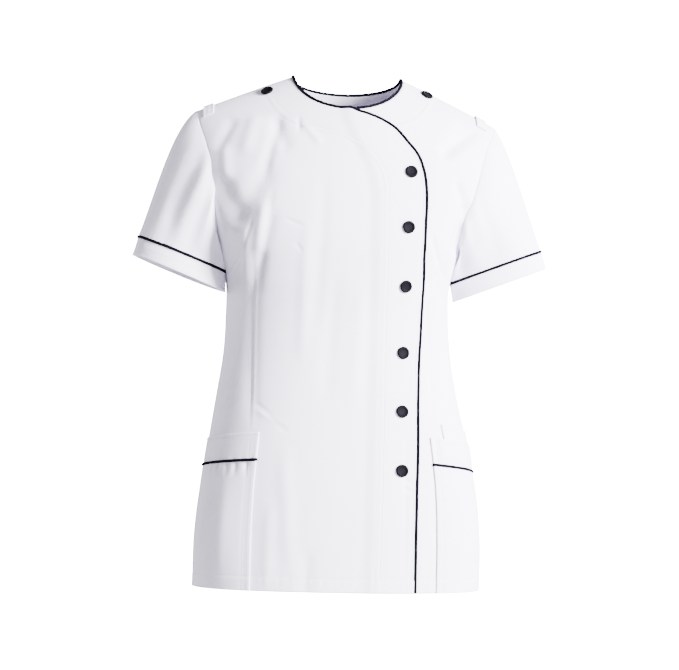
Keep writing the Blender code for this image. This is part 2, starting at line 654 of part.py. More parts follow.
def add_button(name, place, lift):
    """A round cap with a raised rim, turned from its profile and set flat on the cloth."""
    centre, up = at(place, lift), torso_normal(place[0], place[1])
    sideways = np.cross(up, (0, 0, 1) if abs(up[2]) < 0.9 else (0, 1, 0))
    sideways = sideways / np.linalg.norm(sideways)
    ahead = np.cross(up, sideways)
    profile = BUTTON_PROFILE[1:-1]
    angle = np.arange(BUTTON_SIDES) * 2 * math.pi / BUTTON_SIDES
    points = [centre + up * BUTTON_PROFILE[0][1], centre + up * BUTTON_PROFILE[-1][1]]
    for radius, height in profile:
        ring = radius * (np.cos(angle)[:, None] * sideways + np.sin(angle)[:, None] * ahead)
        points += list(centre + ring + up * height)
    faces = []
    for j in range(BUTTON_SIDES):
        k = (j + 1) % BUTTON_SIDES
        faces.append((0, 2 + k, 2 + j))
        for i in range(len(profile) - 1):
            a, b = 2 + i * BUTTON_SIDES, 2 + (i + 1) * BUTTON_SIDES
            faces.append((a + j, a + k, b + k, b + j))
        last = 2 + (len(profile) - 1) * BUTTON_SIDES
        faces.append((1, last + j, last + k))
    add_mesh(name, points, faces)


for number, (x, z) in enumerate(FRONT_BUTTONS, 1):
    place = place_of(x, z)
    add_button(f"button_{number}", place, float(overlap_lift(place)) + BUTTON_CLEARANCE)
for side, (x, z) in SHOULDER_BUTTONS.items():
    add_button("shoulder_button_" + NAMES[side], place_of(x, z), 2 * BUTTON_CLEARANCE)
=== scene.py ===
# %% [markdown]
# A work tunic, dressed
# The solids already have the garment's true form. This lesson gives each of them its cloth: fine
# surfaces with creases, piping, stitches and a woven material. Every piece is worked out from the
# same named sizes as the solids, so it lies exactly where they do.

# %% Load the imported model
import math

import bpy
import numpy as np
from mathutils import Matrix


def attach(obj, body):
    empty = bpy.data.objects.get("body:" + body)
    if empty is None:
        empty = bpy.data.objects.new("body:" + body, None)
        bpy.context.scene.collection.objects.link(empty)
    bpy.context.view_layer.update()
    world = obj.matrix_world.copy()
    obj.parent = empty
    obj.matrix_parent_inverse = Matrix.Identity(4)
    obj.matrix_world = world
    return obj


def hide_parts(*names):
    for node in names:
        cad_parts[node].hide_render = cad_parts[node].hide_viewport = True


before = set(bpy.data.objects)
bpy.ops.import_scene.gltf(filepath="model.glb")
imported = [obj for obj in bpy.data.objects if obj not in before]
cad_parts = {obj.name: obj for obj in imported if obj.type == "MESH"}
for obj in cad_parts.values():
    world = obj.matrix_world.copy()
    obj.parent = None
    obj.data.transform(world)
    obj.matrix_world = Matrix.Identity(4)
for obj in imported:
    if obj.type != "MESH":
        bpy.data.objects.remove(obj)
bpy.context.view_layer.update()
SIDES = {-1: "right", 1: "left"}

# %% [markdown]
# The camera comes first
# The garment was seen from straight ahead, turned a little to its left and leaning by about one
# degree. A long lens from 3.3 m keeps its sides nearly parallel. Building the camera from its own
# three directions makes the lean exact, where Euler angles would need working out.

# %% Place the camera
PHOTO_WIDTH = 679
FOCAL_PIXELS = 2275.9
DISTANCE, EYE_HEIGHT = 3.3, -0.5
TURN_DEG, LEAN_DEG, TILT_DEG = -4.255, 1.2016, 2.196


def unit(v):
    """A vector, or rows of vectors, divided by their length."""
    v = np.asarray(v, float)
    return v / np.linalg.norm(v, axis=-1, keepdims=True)


turned, leaning, tilted = (math.radians(n) for n in (TURN_DEG, LEAN_DEG, TILT_DEG))
away = np.array([math.sin(turned), -math.cos(turned), 0.0])
level_right = np.array([math.cos(turned), math.sin(turned), 0.0])
upright = np.array([0.0, 0.0, 1.0])
camera_right = level_right * math.cos(leaning) + upright * math.sin(leaning)
leaned_up = upright * math.cos(leaning) - level_right * math.sin(leaning)
camera_up = leaned_up * math.cos(tilted) + away * math.sin(tilted)
camera_back = away * math.cos(tilted) - leaned_up * math.sin(tilted)
camera = bpy.data.objects.new("camera", bpy.data.cameras.new("camera"))
placed = np.eye(4)
placed[:3, :4] = np.stack(
    [camera_right, camera_up, camera_back, away * DISTANCE + upright * EYE_HEIGHT], 1
)
camera.matrix_world = Matrix(placed.tolist())
camera.data.sensor_width = 36.0
camera.data.lens = camera.data.sensor_width * FOCAL_PIXELS / PHOTO_WIDTH
camera.data.clip_start, camera.data.clip_end = 0.1, 50.0
bpy.context.scene.collection.objects.link(camera)
bpy.context.scene.camera = camera
print("lens", round(camera.data.lens, 1), "mm")

# %% [markdown]
# The worn form
# A tunic on a figure is one smooth skin that the panels divide between them. turn goes round it,
# from the middle of the front to the wearer's left, and level climbs from the hem to the shoulder
# line. A table of rings gives the half width and the depths, and a smooth curve joins the rings.

# %% The rings of the form
SHOULDER_LEVEL, BUST_Z, HEM_Z = 0.15, -0.25, -0.738
NECK_HALF_WIDTH, SHOULDER_ROUND = 0.080, 0.05
SHOULDER_SLOPE, SHOULDER_LEAN = 0.46, 0.045
RING_COLUMNS = ("level", "half_width", "front", "back", "corner", "sway")
RINGS = np.array([
    (-0.738, 0.2055, 0.118, 0.121, 0.020, -0.001),
    (-0.670, 0.2040, 0.119, 0.125, 0.022, -0.001),
    (-0.600, 0.1980, 0.118, 0.123, 0.025, -0.001),
    (-0.530, 0.1875, 0.113, 0.112, 0.025, -0.002),
    (-0.460, 0.1740, 0.107, 0.095, 0.022, -0.005),
    (-0.400, 0.1645, 0.104, 0.084, 0.020, -0.006),
    (-0.350, 0.1615, 0.106, 0.081, 0.022, -0.007),
    (-0.300, 0.1625, 0.115, 0.087, 0.030, -0.007),
    (-0.250, 0.1780, 0.122, 0.096, 0.035, -0.005),
    (-0.130, 0.2200, 0.106, 0.108, 0.030, -0.002),
    (0.000, 0.2300, 0.062, 0.060, 0.030, 0.000),
    (0.100, 0.2320, 0.022, 0.021, 0.030, 0.000),
    (0.150, 0.2330, 0.000, 0.000, 0.030, 0.000),
])


def through(knots, values, where):
    """The smooth curve through all the knots: a cubic Hermite piece between each two."""
    knots, values, where = (np.asarray(n, float) for n in (knots, values, where))
    slopes = np.gradient(values, knots)
    i = np.clip(np.searchsorted(knots, where, side="right") - 1, 0, len(knots) - 2)
    step = knots[i + 1] - knots[i]
    t = (where - knots[i]) / step
    return (
        values[i] * (1 + 2 * t) * (1 - t) ** 2
        + slopes[i] * step * t * (1 - t) ** 2
        + values[i + 1] * t * t * (3 - 2 * t)
        + slopes[i + 1] * step * t * t * (t - 1)
    )


def ease(t):
    """0 before t is 0, 1 after t is 1, and an easy slope between."""
    t = np.clip(t, 0, 1)
    return t * t * (3 - 2 * t)


def ridge(where, place, width):
    """1 at the place, falling off to both sides as exp(-(distance / width) squared)."""
    return np.exp(-(((where - place) / width) ** 2))


def ring(column, level):
    """One column of RINGS, read at any level."""
    return through(RINGS[:, 0], RINGS[:, RING_COLUMNS.index(column)], level)


def shoulder_z(x):
    """Height of the shoulder line: straight slopes, rounded over the middle."""
    reach = np.hypot(x, SHOULDER_ROUND)
    slope = SHOULDER_SLOPE + SHOULDER_LEAN * x / reach
    return slope * (math.hypot(NECK_HALF_WIDTH, SHOULDER_ROUND) - reach)


print("widest at the hips", round(2 * float(ring("half_width", HEM_Z)), 3), "m")

# %% [markdown]
# Folds as a height map
# Cloth on a figure breaks into soft hollows below the shoulders, a roll at the bust and sharp
# lines where darts are sewn. Each row is one line seen from the front, with how wide it is and how
# high. A hollow has a minus sign. A Gaussian across each line adds them up: simulated cloth would
# give folds too, but not these ones.

# %% The folds of the front and back
# Columns: the line's two ends as x0, z0, x1, z1, then its width and height, all in metres
LARGE_FOLDS = np.array([
    (-0.188, -0.150, -0.150, -0.232, 0.0140, -0.0060),
    (-0.118, -0.185, -0.126, -0.275, 0.0100, 0.0035),
    (-0.106, -0.190, -0.132, -0.330, 0.0080, -0.0022),
    (-0.132, -0.260, -0.132, -0.520, 0.0100, -0.0018),
    (0.172, -0.180, 0.150, -0.262, 0.0120, -0.0055),
    (0.178, -0.062, 0.128, -0.122, 0.0120, -0.0030),
    (0.118, -0.320, 0.128, -0.480, 0.0080, -0.0020),
    (-0.110, -0.060, -0.088, -0.125, 0.0100, -0.0025),
])
print("large folds", len(LARGE_FOLDS))

# %% [markdown]
# Folds behind
# The photo doesn't show the back, so its few folds are a plain guess.

# %% Folds of the back
# A plain guess: two waist darts like the front's, and soft hollows and rolls round them
BACK_FOLDS = np.array([
    (-0.080, -0.180, -0.075, -0.560, 0.0022, -0.0010),
    (0.078, -0.180, 0.071, -0.560, 0.0022, -0.0010),
    (-0.080, -0.240, -0.075, -0.520, 0.0140, -0.0022),
    (0.078, -0.240, 0.071, -0.520, 0.0140, -0.0022),
    (-0.150, -0.180, -0.060, -0.360, 0.0120, -0.0024),
    (0.150, -0.190, 0.062, -0.350, 0.0120, -0.0024),
    (-0.140, -0.400, -0.030, -0.430, 0.0090, 0.0018),
    (0.135, -0.390, 0.020, -0.415, 0.0090, 0.0016),
    (-0.120, -0.460, -0.040, -0.450, 0.0080, -0.0014),
    (-0.030, -0.520, -0.040, -0.780, 0.0140, -0.0024),
    (0.060, -0.540, 0.068, -0.780, 0.0150, 0.0026),
    (0.120, -0.560, 0.130, -0.780, 0.0140, -0.0022),
    (-0.110, -0.540, -0.125, -0.780, 0.0150, 0.0024),
    (0.010, -0.080, 0.004, -0.360, 0.0120, -0.0014),
])
print("folds behind", len(BACK_FOLDS))

# %% [markdown]
# Small folds
# These creases are read off the photo one by one. Only the scene has them.

# %% Small folds of the front
# The small folds are all deepened by this much
FOLD_DEPTH = 1.4
SMALL_FOLDS = np.array([
    (-0.073, -0.064, -0.072, -0.094, 0.0024, -0.0012),
    (-0.070, -0.072, -0.038, -0.112, 0.0050, 0.0011),
    (-0.098, -0.058, -0.126, -0.165, 0.0080, -0.0022),
    (-0.130, -0.055, -0.152, -0.130, 0.0100, 0.0018),
    (-0.162, -0.064, -0.190, -0.120, 0.0080, -0.0020),
    (-0.176, -0.100, -0.172, -0.170, 0.0080, 0.0016),
    (-0.168, -0.230, -0.108, -0.132, 0.0150, -0.0026),
    (-0.145, -0.220, -0.141, -0.320, 0.0075, 0.0020),
    (-0.107, -0.160, -0.128, -0.310, 0.0050, -0.0010),
    (-0.1325, -0.240, -0.1320, -0.540, 0.0016, -0.0004),
    (-0.1290, -0.240, -0.1290, -0.540, 0.0020, 0.0006),
    (-0.172, -0.296, -0.146, -0.258, 0.0018, -0.0009),
    (-0.149, -0.270, -0.136, -0.212, 0.0024, -0.0009),
    (-0.094, -0.215, -0.062, -0.228, 0.0018, -0.0008),
    (-0.076, -0.249, -0.064, -0.265, 0.0016, -0.0007),
    (-0.132, -0.470, -0.076, -0.520, 0.0036, -0.0010),
    (-0.126, -0.482, -0.082, -0.510, 0.0040, 0.0010),
    (-0.086, -0.520, -0.074, -0.720, 0.0110, 0.0012),
    (-0.102, -0.600, -0.106, -0.750, 0.0090, 0.0010),
    (-0.050, -0.670, -0.053, -0.770, 0.0100, -0.0012),
    (-0.016, -0.260, -0.030, -0.500, 0.0120, -0.0011),
    (-0.060, -0.200, -0.062, -0.440, 0.0090, 0.0010),
    (-0.036, -0.120, -0.044, -0.400, 0.0090, -0.0008),
    (0.020, -0.280, 0.010, -0.500, 0.0120, 0.0009),
    (0.085, -0.490, 0.087, -0.740, 0.0020, -0.0006),
    (0.081, -0.577, 0.099, -0.586, 0.0026, -0.0009),
    (0.083, -0.590, 0.098, -0.598, 0.0024, -0.0009),
    (0.146, -0.296, 0.128, -0.273, 0.0020, -0.0010),
    (0.134, -0.284, 0.115, -0.225, 0.0030, -0.0014),
    (0.112, -0.308, 0.134, -0.280, 0.0022, -0.0010),
    (0.112, -0.300, 0.126, -0.440, 0.0026, -0.0008),
    (0.124, -0.410, 0.128, -0.520, 0.0024, -0.0006),
    (0.118, -0.365, 0.181, -0.510, 0.0018, -0.0007),
    (0.197, -0.068, 0.126, -0.126, 0.0080, -0.0034),
    (0.150, -0.150, 0.178, -0.205, 0.0065, -0.0040),
    (0.176, -0.190, 0.146, -0.290, 0.0062, -0.0040),
    (0.152, -0.225, 0.138, -0.320, 0.0055, 0.0020),
])


def lines_height(rows, x, z, fade=0.0):
    """The sum of the rows' ridges: height times exp(-(distance to the line / width) squared)."""
    total = np.zeros(np.broadcast(x, z).shape)
    for x0, z0, x1, z1, width, height in rows:
        run = np.array([x1 - x0, z1 - z0])
        along = ((x - x0) * run[0] + (z - z0) * run[1]) / (run @ run)
        near = np.clip(along, 0.1, 0.9)
        away = np.hypot(x - x0 - near * run[0], z - z0 - near * run[1])
        ends = ease(along / fade) * ease((1 - along) / fade) if fade else 1.0
        total = total + height * ends * ridge(away, 0, width)
    return total


print(len(LARGE_FOLDS), "large folds,", len(SMALL_FOLDS), "small ones and", len(BACK_FOLDS), "behind")

# %% [markdown]
# The skin and its normals
# The rings are squarish ovals. Over the shoulders the front and back meet, so the surface carries
# on down the other side when level passes the shoulder line: normals then come out smooth there.


# %% The surface of the torso
LARGE_FADE, SMALL_FADE = 0.25, 0.3  # share of a fold's length over which each end dies out
SIDE_FADE = 0.03  # folds die out over these last metres of depth before the side seam
INVERSE_STEPS = 12  # Newton steps that find a turn from its x


def torso(turn, level, small=1.0):
    """Point of the skin: a squarish oval ring, bent up over the shoulder, pushed out by the folds."""
    turn, level = np.broadcast_arrays(np.asarray(turn, float), np.asarray(level, float))
    over = level > SHOULDER_LEVEL
    turn = np.where(over, math.pi - turn, turn)
    level = np.where(over, 2 * SHOULDER_LEVEL - level, level)
    corner = ring("corner", level)
    across = (np.sin(turn) + corner * np.sin(3 * turn)) / (1 - corner)
    depth = (np.cos(turn) - corner * np.cos(3 * turn)) / (1 - corner)
    x = ring("half_width", level) * across + ring("sway", level)
    front = np.cos(turn) > 0
    y = -depth * np.where(front, ring("front", level), ring("back", level))
    swing = math.pi / 2 * (SHOULDER_LEVEL - level) / (SHOULDER_LEVEL - BUST_Z)
    z = np.where(level < BUST_Z, level, BUST_Z + (shoulder_z(x) - BUST_Z) * np.cos(swing))
    fine = small * FOLD_DEPTH * lines_height(SMALL_FOLDS, x, z, SMALL_FADE)
    ahead = lines_height(LARGE_FOLDS, x, z, LARGE_FADE) + fine
    behind = small * lines_height(BACK_FOLDS, x, z, LARGE_FADE)
    push = np.where(front, ahead * ease(-y / SIDE_FADE), behind * ease(y / SIDE_FADE))
    return np.stack([x + push * np.sin(turn), y - push * np.cos(turn), z], -1)


def torso_normal(turn, level, e=0.0015):
    """Unit outward normals, from points a little to each side."""
    round_it = torso(turn + e, level, 0) - torso(turn - e, level, 0)
    up = torso(turn, level + e, 0) - torso(turn, level - e, 0)
    return unit(np.cross(round_it, up))


def place_of(x, z, back=False):
    """The (turn, level) of the point that shows at x and z from the front, or from behind."""
    x, z = np.broadcast_arrays(np.asarray(x, float), np.asarray(z, float))
    swing = np.arccos(np.clip((z - BUST_Z) / (shoulder_z(x) - BUST_Z), -1, 1))
    above = SHOULDER_LEVEL - (SHOULDER_LEVEL - BUST_Z) * swing / (math.pi / 2)
    level = np.where(z < BUST_Z, z, above)
    corner = ring("corner", level)
    s = wanted = np.clip((x - ring("sway", level)) / ring("half_width", level), -1, 1) * (1 - corner)
    for _ in range(INVERSE_STEPS):
        s = s - (s + corner * (3 * s - 4 * s**3) - wanted) / (1 + corner * (3 - 12 * s * s))
    turn = np.arcsin(np.clip(s, -1, 1))
    return np.stack([math.pi - turn if back else turn, level], -1)


def at(path, out=0.0, small=1.0):
    """Points of the skin at each (turn, level), moved out along the normal."""
    turn, level = path[..., 0], path[..., 1]
    return torso(turn, level, small) + np.asarray(out)[..., None] * torso_normal(turn, level)


chest = place_of(0.0, -0.2)
print("the middle of the chest lies at y", round(float(at(chest)[1]), 3), "m")

# %% [markdown]
# Paths and panels
# A cutting line is drawn as seen from the front, then stepped off in equal lengths of cloth. A panel
# is filled in between its four edges. The Winslow equation evens the grid out, so no cell folds over
# where an armhole or a neckline cuts in.


# %% Paths on the cloth, and grids between them
TURN_REACH = 0.18  # metres round the body in one radian of turn, so that cells count as square
FEW_ROWS, FEW_COLUMNS, COARSE_ROUNDS, FINE_ROUNDS = 40, 24, 500, 160


def curved(path):
    """A close-set smooth path through the given points."""
    path = np.asarray(path, float)
    run = np.concatenate([[0], np.cumsum(np.linalg.norm(np.diff(path, axis=0), axis=1))])
    fine = np.linspace(0, run[-1], 60 * len(path))
    return np.stack([through(run, path[:, k], fine) for k in range(path.shape[1])], -1)


def evenly(path, count):
    """The path again as count steps, equally long over the cloth."""
    index = np.linspace(0, len(path) - 1, max(1200, 4 * len(path)))
    fine = np.stack([np.interp(index, np.arange(len(path)), path[:, k]) for k in (0, 1)], -1)
    steps = np.linalg.norm(np.diff(torso(fine[:, 0], fine[:, 1], 0), axis=0), axis=1)
    run = np.concatenate([[0], np.cumsum(steps)])
    spaced = np.linspace(0, run[-1], count + 1)
    return np.stack([np.interp(spaced, run, fine[:, k]) for k in (0, 1)], -1)


def straight(start, end, count):
    """A straight run in turn and level, stepped off over the cloth."""
    return evenly(np.array([start, end], float), count)


side_seam = straight((math.pi / 2, HEM_Z), (math.pi / 2, BUST_Z), 50)
side_steps = np.linalg.norm(np.diff(at(side_seam, small=0), axis=0), axis=1)
print("side seam", round(float(side_steps.sum()), 3), "m long")

# %% [markdown]
# Grids between four edges
# A first grid is blended from its four edges. The Winslow equation then evens it out on a few
# points, and again on all of them.


# %% Grids between four edges
def winslow(grid, rounds):
    """Each inner point moves to where the Winslow equation has it, from its eight neighbours."""
    g = grid * (TURN_REACH, 1)
    for _ in range(rounds):
        east, west, north, south = g[1:-1, 2:], g[1:-1, :-2], g[2:, 1:-1], g[:-2, 1:-1]
        across, up = (east - west) / 2, (north - south) / 2
        a, c = (up**2).sum(-1, keepdims=True), (across**2).sum(-1, keepdims=True)
        b = (across * up).sum(-1, keepdims=True)
        skew = (g[2:, 2:] - g[2:, :-2] - g[:-2, 2:] + g[:-2, :-2]) / 4
        g[1:-1, 1:-1] = (a * (east + west) + c * (north + south) - 2 * b * skew) / (2 * (a + c))
    return g / (TURN_REACH, 1)


def coons(first, last, foot, head):
    """The plain blend of four edges: sides plus ends, less the corners counted twice."""
    v, u = np.linspace(0, 1, len(first))[:, None, None], np.linspace(0, 1, len(foot))[None, :, None]
    sides = (1 - u) * first[:, None] + u * last[:, None]
    ends = (1 - v) * foot[None] + v * head[None]
    corners = (1 - v) * ((1 - u) * foot[0] + u * foot[-1]) + v * ((1 - u) * head[0] + u * head[-1])
    return sides + ends - corners


def sampled(values, count):
    """Rows of values read at count even places."""
    at_row = np.linspace(0, len(values) - 1, count)
    low = np.clip(at_row.astype(int), 0, len(values) - 2)
    t = (at_row - low).reshape((-1,) + (1,) * (values.ndim - 1))
    return values[low] * (1 - t) + values[low + 1] * t


def between(first, last, foot, head):
    """A panel's grid: evened out coarsely first, then read finely and evened out again."""
    rows, columns = len(first), len(foot)
    few_rows, few_columns = min(rows, FEW_ROWS), min(columns, FEW_COLUMNS)
    upright_edges = sampled(first, few_rows), sampled(last, few_rows)
    level_edges = sampled(foot, few_columns), sampled(head, few_columns)
    coarse = winslow(coons(*upright_edges, *level_edges), COARSE_ROUNDS)
    fine = sampled(np.swapaxes(sampled(coarse, rows), 0, 1), columns).swapaxes(0, 1).copy()
    fine[:, 0], fine[:, -1], fine[0], fine[-1] = first, last, foot, head
    return winslow(fine, FINE_ROUNDS)


print("grids settle in", COARSE_ROUNDS, "rounds, then", FINE_ROUNDS)

# %% [markdown]
# Cloth as a thin shell
# Real cloth has an edge you can see. Each piece is a front grid and a back grid, joined round the
# rim by a middle row that stands out a little, so the edge looks folded and not cut from card. The
# grid's own turn and level, in metres, become the UV map that the weave follows.

# %% Meshes from grids
WALL, POCKET_WALL, GAP, ON_CLOTH = 0.0015, 0.0012, 0.0004, 0.0006
RIM_BULGE = 0.12  # how far the folded rim stands out, as a share of the wall
UV_REACH = 0.17  # metres of weave in one radian of turn
made = {}


def put_mesh(name, points, quads, uv=None):
    """A mesh object from an array of points and one of four-cornered faces."""
    mesh = bpy.data.meshes.new(name)
    mesh.from_pydata(np.asarray(points, float).reshape(-1, 3).tolist(), [], np.asarray(quads).tolist())
    if uv is not None:
        layer = mesh.uv_layers.new(name="cloth")
        corner = np.empty(len(mesh.loops), int)
        mesh.loops.foreach_get("vertex_index", corner)
        layer.data.foreach_set("uv", np.asarray(uv, float).reshape(-1, 2)[corner].ravel())
    mesh.polygons.foreach_set("use_smooth", np.full(len(mesh.polygons), True))
    mesh.update()
    thing = bpy.data.objects.new(name, mesh)
    bpy.context.scene.collection.objects.link(thing)
    made[name] = thing
    return thing


def cell_corners(rows, columns, ring_shape=False):
    """Four corner indices of every cell of a grid; a ring also joins its last column to its first."""
    i, j = np.meshgrid(np.arange(rows - 1), np.arange(columns if ring_shape else columns - 1), indexing="ij")
    k = (j + 1) % columns
    low, high = i * columns, (i + 1) * columns
    return np.stack([low + j, low + k, high + k, high + j], -1).reshape(-1, 4)


def cloth_uv(grid):
    """Turn and level as metres of cloth, which the weave follows."""
    return np.stack([grid[..., 0] * UV_REACH, grid[..., 1]], -1)


def faces_outward(points, quads):
    """True where the closed shape's signed volume is positive."""
    p = np.asarray(points, float).reshape(-1, 3)
    a, b, c, d = (p[quads[:, n]] for n in range(4))
    return ((a * np.cross(b, c)).sum() + (a * np.cross(c, d)).sum()) > 0


print("one radian of turn is", UV_REACH, "m of weave")

# %% [markdown]
# A front, a rim and a back
# The rim's middle row stands out from the edge by a share of the wall. The windings of the
# three parts are made to agree, and then to face outward.


# %% A shell from two grids
def cloth(name, outer, inner, uv, ring_shape=False):
    """A closed shell: outer grid, inner grid, and a softly rounded rim between their borders."""
    rows, columns = outer.shape[:2]
    count = rows * columns
    index = np.arange(count).reshape(rows, columns)
    cells = cell_corners(rows, columns, ring_shape)
    points, quads = [outer.reshape(-1, 3), inner.reshape(-1, 3)], [cells, cells[:, ::-1] + count]
    flat_uv = np.asarray(uv, float).reshape(-1, 2)
    uvs = [flat_uv, flat_uv]
    if ring_shape:
        borders = [(index[0], index[1]), (index[-1], index[-2])]
    else:
        border = np.concatenate([index[0], index[1:, -1], index[-1, -2::-1], index[-2:0:-1, 0]])
        inside = np.clip(border // columns, 1, rows - 2) * columns + np.clip(border % columns, 1, columns - 2)
        borders = [(border, inside)]
    start, solid = 2 * count, np.concatenate([outer.reshape(-1, 3), inner.reshape(-1, 3)])
    for border, inside in borders:
        middle = (solid[border] + solid[border + count]) / 2
        away = unit(solid[border] - solid[inside])
        thick = np.linalg.norm(solid[border] - solid[border + count], axis=1, keepdims=True)
        points.append(middle + away * thick * RIM_BULGE)
        uvs.append(flat_uv[border])
        n = np.arange(len(border))
        m = (n + 1) % len(border)
        quads.append(np.stack([border[n], start + n, start + m, border[m]], -1))
        quads.append(np.stack([start + n, border[n] + count, border[m] + count, start + m], -1))
        start += len(border)
    points, uvs = np.concatenate(points), np.concatenate(uvs)
    # Each rim is turned where it runs an edge the same way as the cells beside it
    quads = agreed_winding(quads, cells)
    if not faces_outward(points, quads):
        quads = quads[:, ::-1]
    return put_mesh(name, points, quads, uvs)


def agreed_winding(groups, cells):
    """All groups as one array, each rim group turned if it runs an edge the same way as its cells."""
    edges = np.concatenate([cells[:, [0, 1]], cells[:, [1, 2]], cells[:, [2, 3]], cells[:, [3, 0]]])
    size = int(max(g.max() for g in groups)) + 1
    known = set((edges[:, 0] * size + edges[:, 1]).tolist())
    out = [groups[0], groups[1]]
    for outer_rim, inner_rim in zip(groups[2::2], groups[3::2]):
        a, b = outer_rim[0][3], outer_rim[0][0]
        turn_it = int(a) * size + int(b) in known
        out += [outer_rim[:, ::-1], inner_rim[:, ::-1]] if turn_it else [outer_rim, inner_rim]
    return np.concatenate(out)


def sheet_size(thing):
    """Half of a shell's surface, which is its cloth."""
    mesh = thing.data
    areas = np.empty(len(mesh.polygons))
    mesh.polygons.foreach_get("area", areas)
    return float(areas.sum()) / 2


print("walls of", 1000 * WALL, "mm, pockets of", 1000 * POCKET_WALL, "mm")

# %% [markdown]
# Cutting lines
# These are the lines a cutter would chalk, as x and z from straight ahead. The neckline is an
# ellipse. The right front runs on past the middle in one long curve, and the left front reaches
# beneath it.

# %% Necks, edges and armholes
NECK_DROP_FRONT, NECK_DROP_BACK = 0.0545, 0.018
OVERLAP_LIFT, OVERLAP_CORNER = 0.0026, 6
LIFT_STARTS, LIFT_RUN = 0.024, 0.020  # where the lift begins inside the underlap, and over how far
OVERLAP_EDGE = (
    (0.0000, -0.0545), (0.0125, -0.0595), (0.0300, -0.0650), (0.0470, -0.0725),
    (0.0650, -0.0845), (0.0785, -0.1000), (0.0980, -0.1270), (0.1055, -0.1556),
    (0.1070, -0.1840), (0.1060, -0.2130), (0.1050, -0.2550), (0.1048, -0.3250),
    (0.1038, -0.3670), (0.1022, -0.4050), (0.1016, -0.4400), (0.1018, -0.5370),
    (0.1008, -0.6000), (0.1006, -0.6630), (0.1010, HEM_Z),
)
UNDERLAP_EDGE = (
    (0.0060, -0.0543), (0.0120, -0.0800), (0.0270, -0.1100), (0.0420, -0.1400),
    (0.0500, -0.1800), (0.0520, -0.3400), (0.0515, -0.5000), (0.0490, HEM_Z),
)
SHOULDER_TIP_X, ARMPIT_LEVEL = 0.2186, -0.243
ARMHOLE_FRONT = {
    -1: ((-0.2125, -0.0755), (-0.2020, -0.1083), (-0.1950, -0.1350), (-0.1922, -0.1600),
         (-0.1900, -0.1900), (-0.1860, -0.2180)),
    1: ((0.2150, -0.0740), (0.2010, -0.1065), (0.1930, -0.1330), (0.1855, -0.1600),
        (0.1745, -0.1950), (0.1690, -0.2200)),
}
ARMHOLE_BACK = ((0.2120, -0.0760), (0.2040, -0.1080), (0.1985, -0.1400), (0.1950, -0.1750),
                (0.1900, -0.2100))
SIDE_STEPS, ARMHOLE_STEPS, SHOULDER_STEPS = 150, 90, 40
PANEL_STEPS = SIDE_STEPS + ARMHOLE_STEPS + SHOULDER_STEPS
RIGHT_STEPS, LEFT_STEPS, BACK_STEPS = 130, 70, 100
NECK_END = NECK_HALF_WIDTH - 1e-9  # a hair inside the ellipse's end, where its angle can be found
neck_points = {s: place_of(s * NECK_HALF_WIDTH, 0.0) for s in SIDES}
tips = {s: place_of(s * SHOULDER_TIP_X, shoulder_z(s * SHOULDER_TIP_X)) for s in SIDES}
for ends in (neck_points, tips):
    for s in ends:
        ends[s][1] = SHOULDER_LEVEL


print("shoulder tips", SHOULDER_TIP_X, "m from the middle")

# %% [markdown]
# Ways to follow the marks
# The armhole and the neck are curves through their marks. The overlap is lifted off the left
# front, little by little from its inner side.


# %% Armhole, seam and neck curves
def to_back(path):
    """The same path, reached from the back."""
    return np.stack([math.pi - path[..., 0], path[..., 1]], -1)


def armhole(side, back):
    """The armhole from the armpit up to the shoulder tip."""
    if back:
        marks = [place_of(side * x, z, back=True) for x, z in ARMHOLE_BACK]
        foot, head = (math.pi - side * math.pi / 2, ARMPIT_LEVEL), to_back(tips[side])
    else:
        marks = [place_of(x, z) for x, z in ARMHOLE_FRONT[side]]
        foot, head = (side * math.pi / 2, ARMPIT_LEVEL), tips[side]
    return evenly(curved([foot, *reversed(marks), head]), ARMHOLE_STEPS)


def outer_seam(side, back):
    """Side seam, armhole and shoulder seam as one path, from the hem up to the neck."""
    turn = math.pi - side * math.pi / 2 if back else side * math.pi / 2
    up_side = straight((turn, HEM_Z), (turn, ARMPIT_LEVEL), SIDE_STEPS)
    shoulder = straight(tips[side], neck_points[side], SHOULDER_STEPS)
    shoulder = to_back(shoulder) if back else shoulder
    return np.concatenate([up_side[:-1], armhole(side, back), shoulder[1:]])


def neckline(first_x, last_x, drop, back, count):
    """Part of the neck curve, an ellipse seen from straight ahead."""
    angle = np.linspace(math.acos(first_x / NECK_HALF_WIDTH), math.acos(last_x / NECK_HALF_WIDTH), 400)
    return evenly(place_of(NECK_HALF_WIDTH * np.cos(angle), -drop * np.sin(angle), back), count)


def overlap_lift(path):
    """How far the overlapping front stands off: nothing, then full over the underlap."""
    points = at(path, small=0)
    edge = np.array(UNDERLAP_EDGE)[::-1]
    start = np.interp(points[..., 2], edge[:, 1], edge[:, 0])
    return OVERLAP_LIFT * ease((points[..., 0] - start + LIFT_STARTS) / LIFT_RUN)


print("neck drops", NECK_DROP_FRONT, "m in front and", NECK_DROP_BACK, "behind")

# %% [markdown]
# Heads and edges of the panels
# Each line is stepped off in as many parts as the grid of its panel needs.

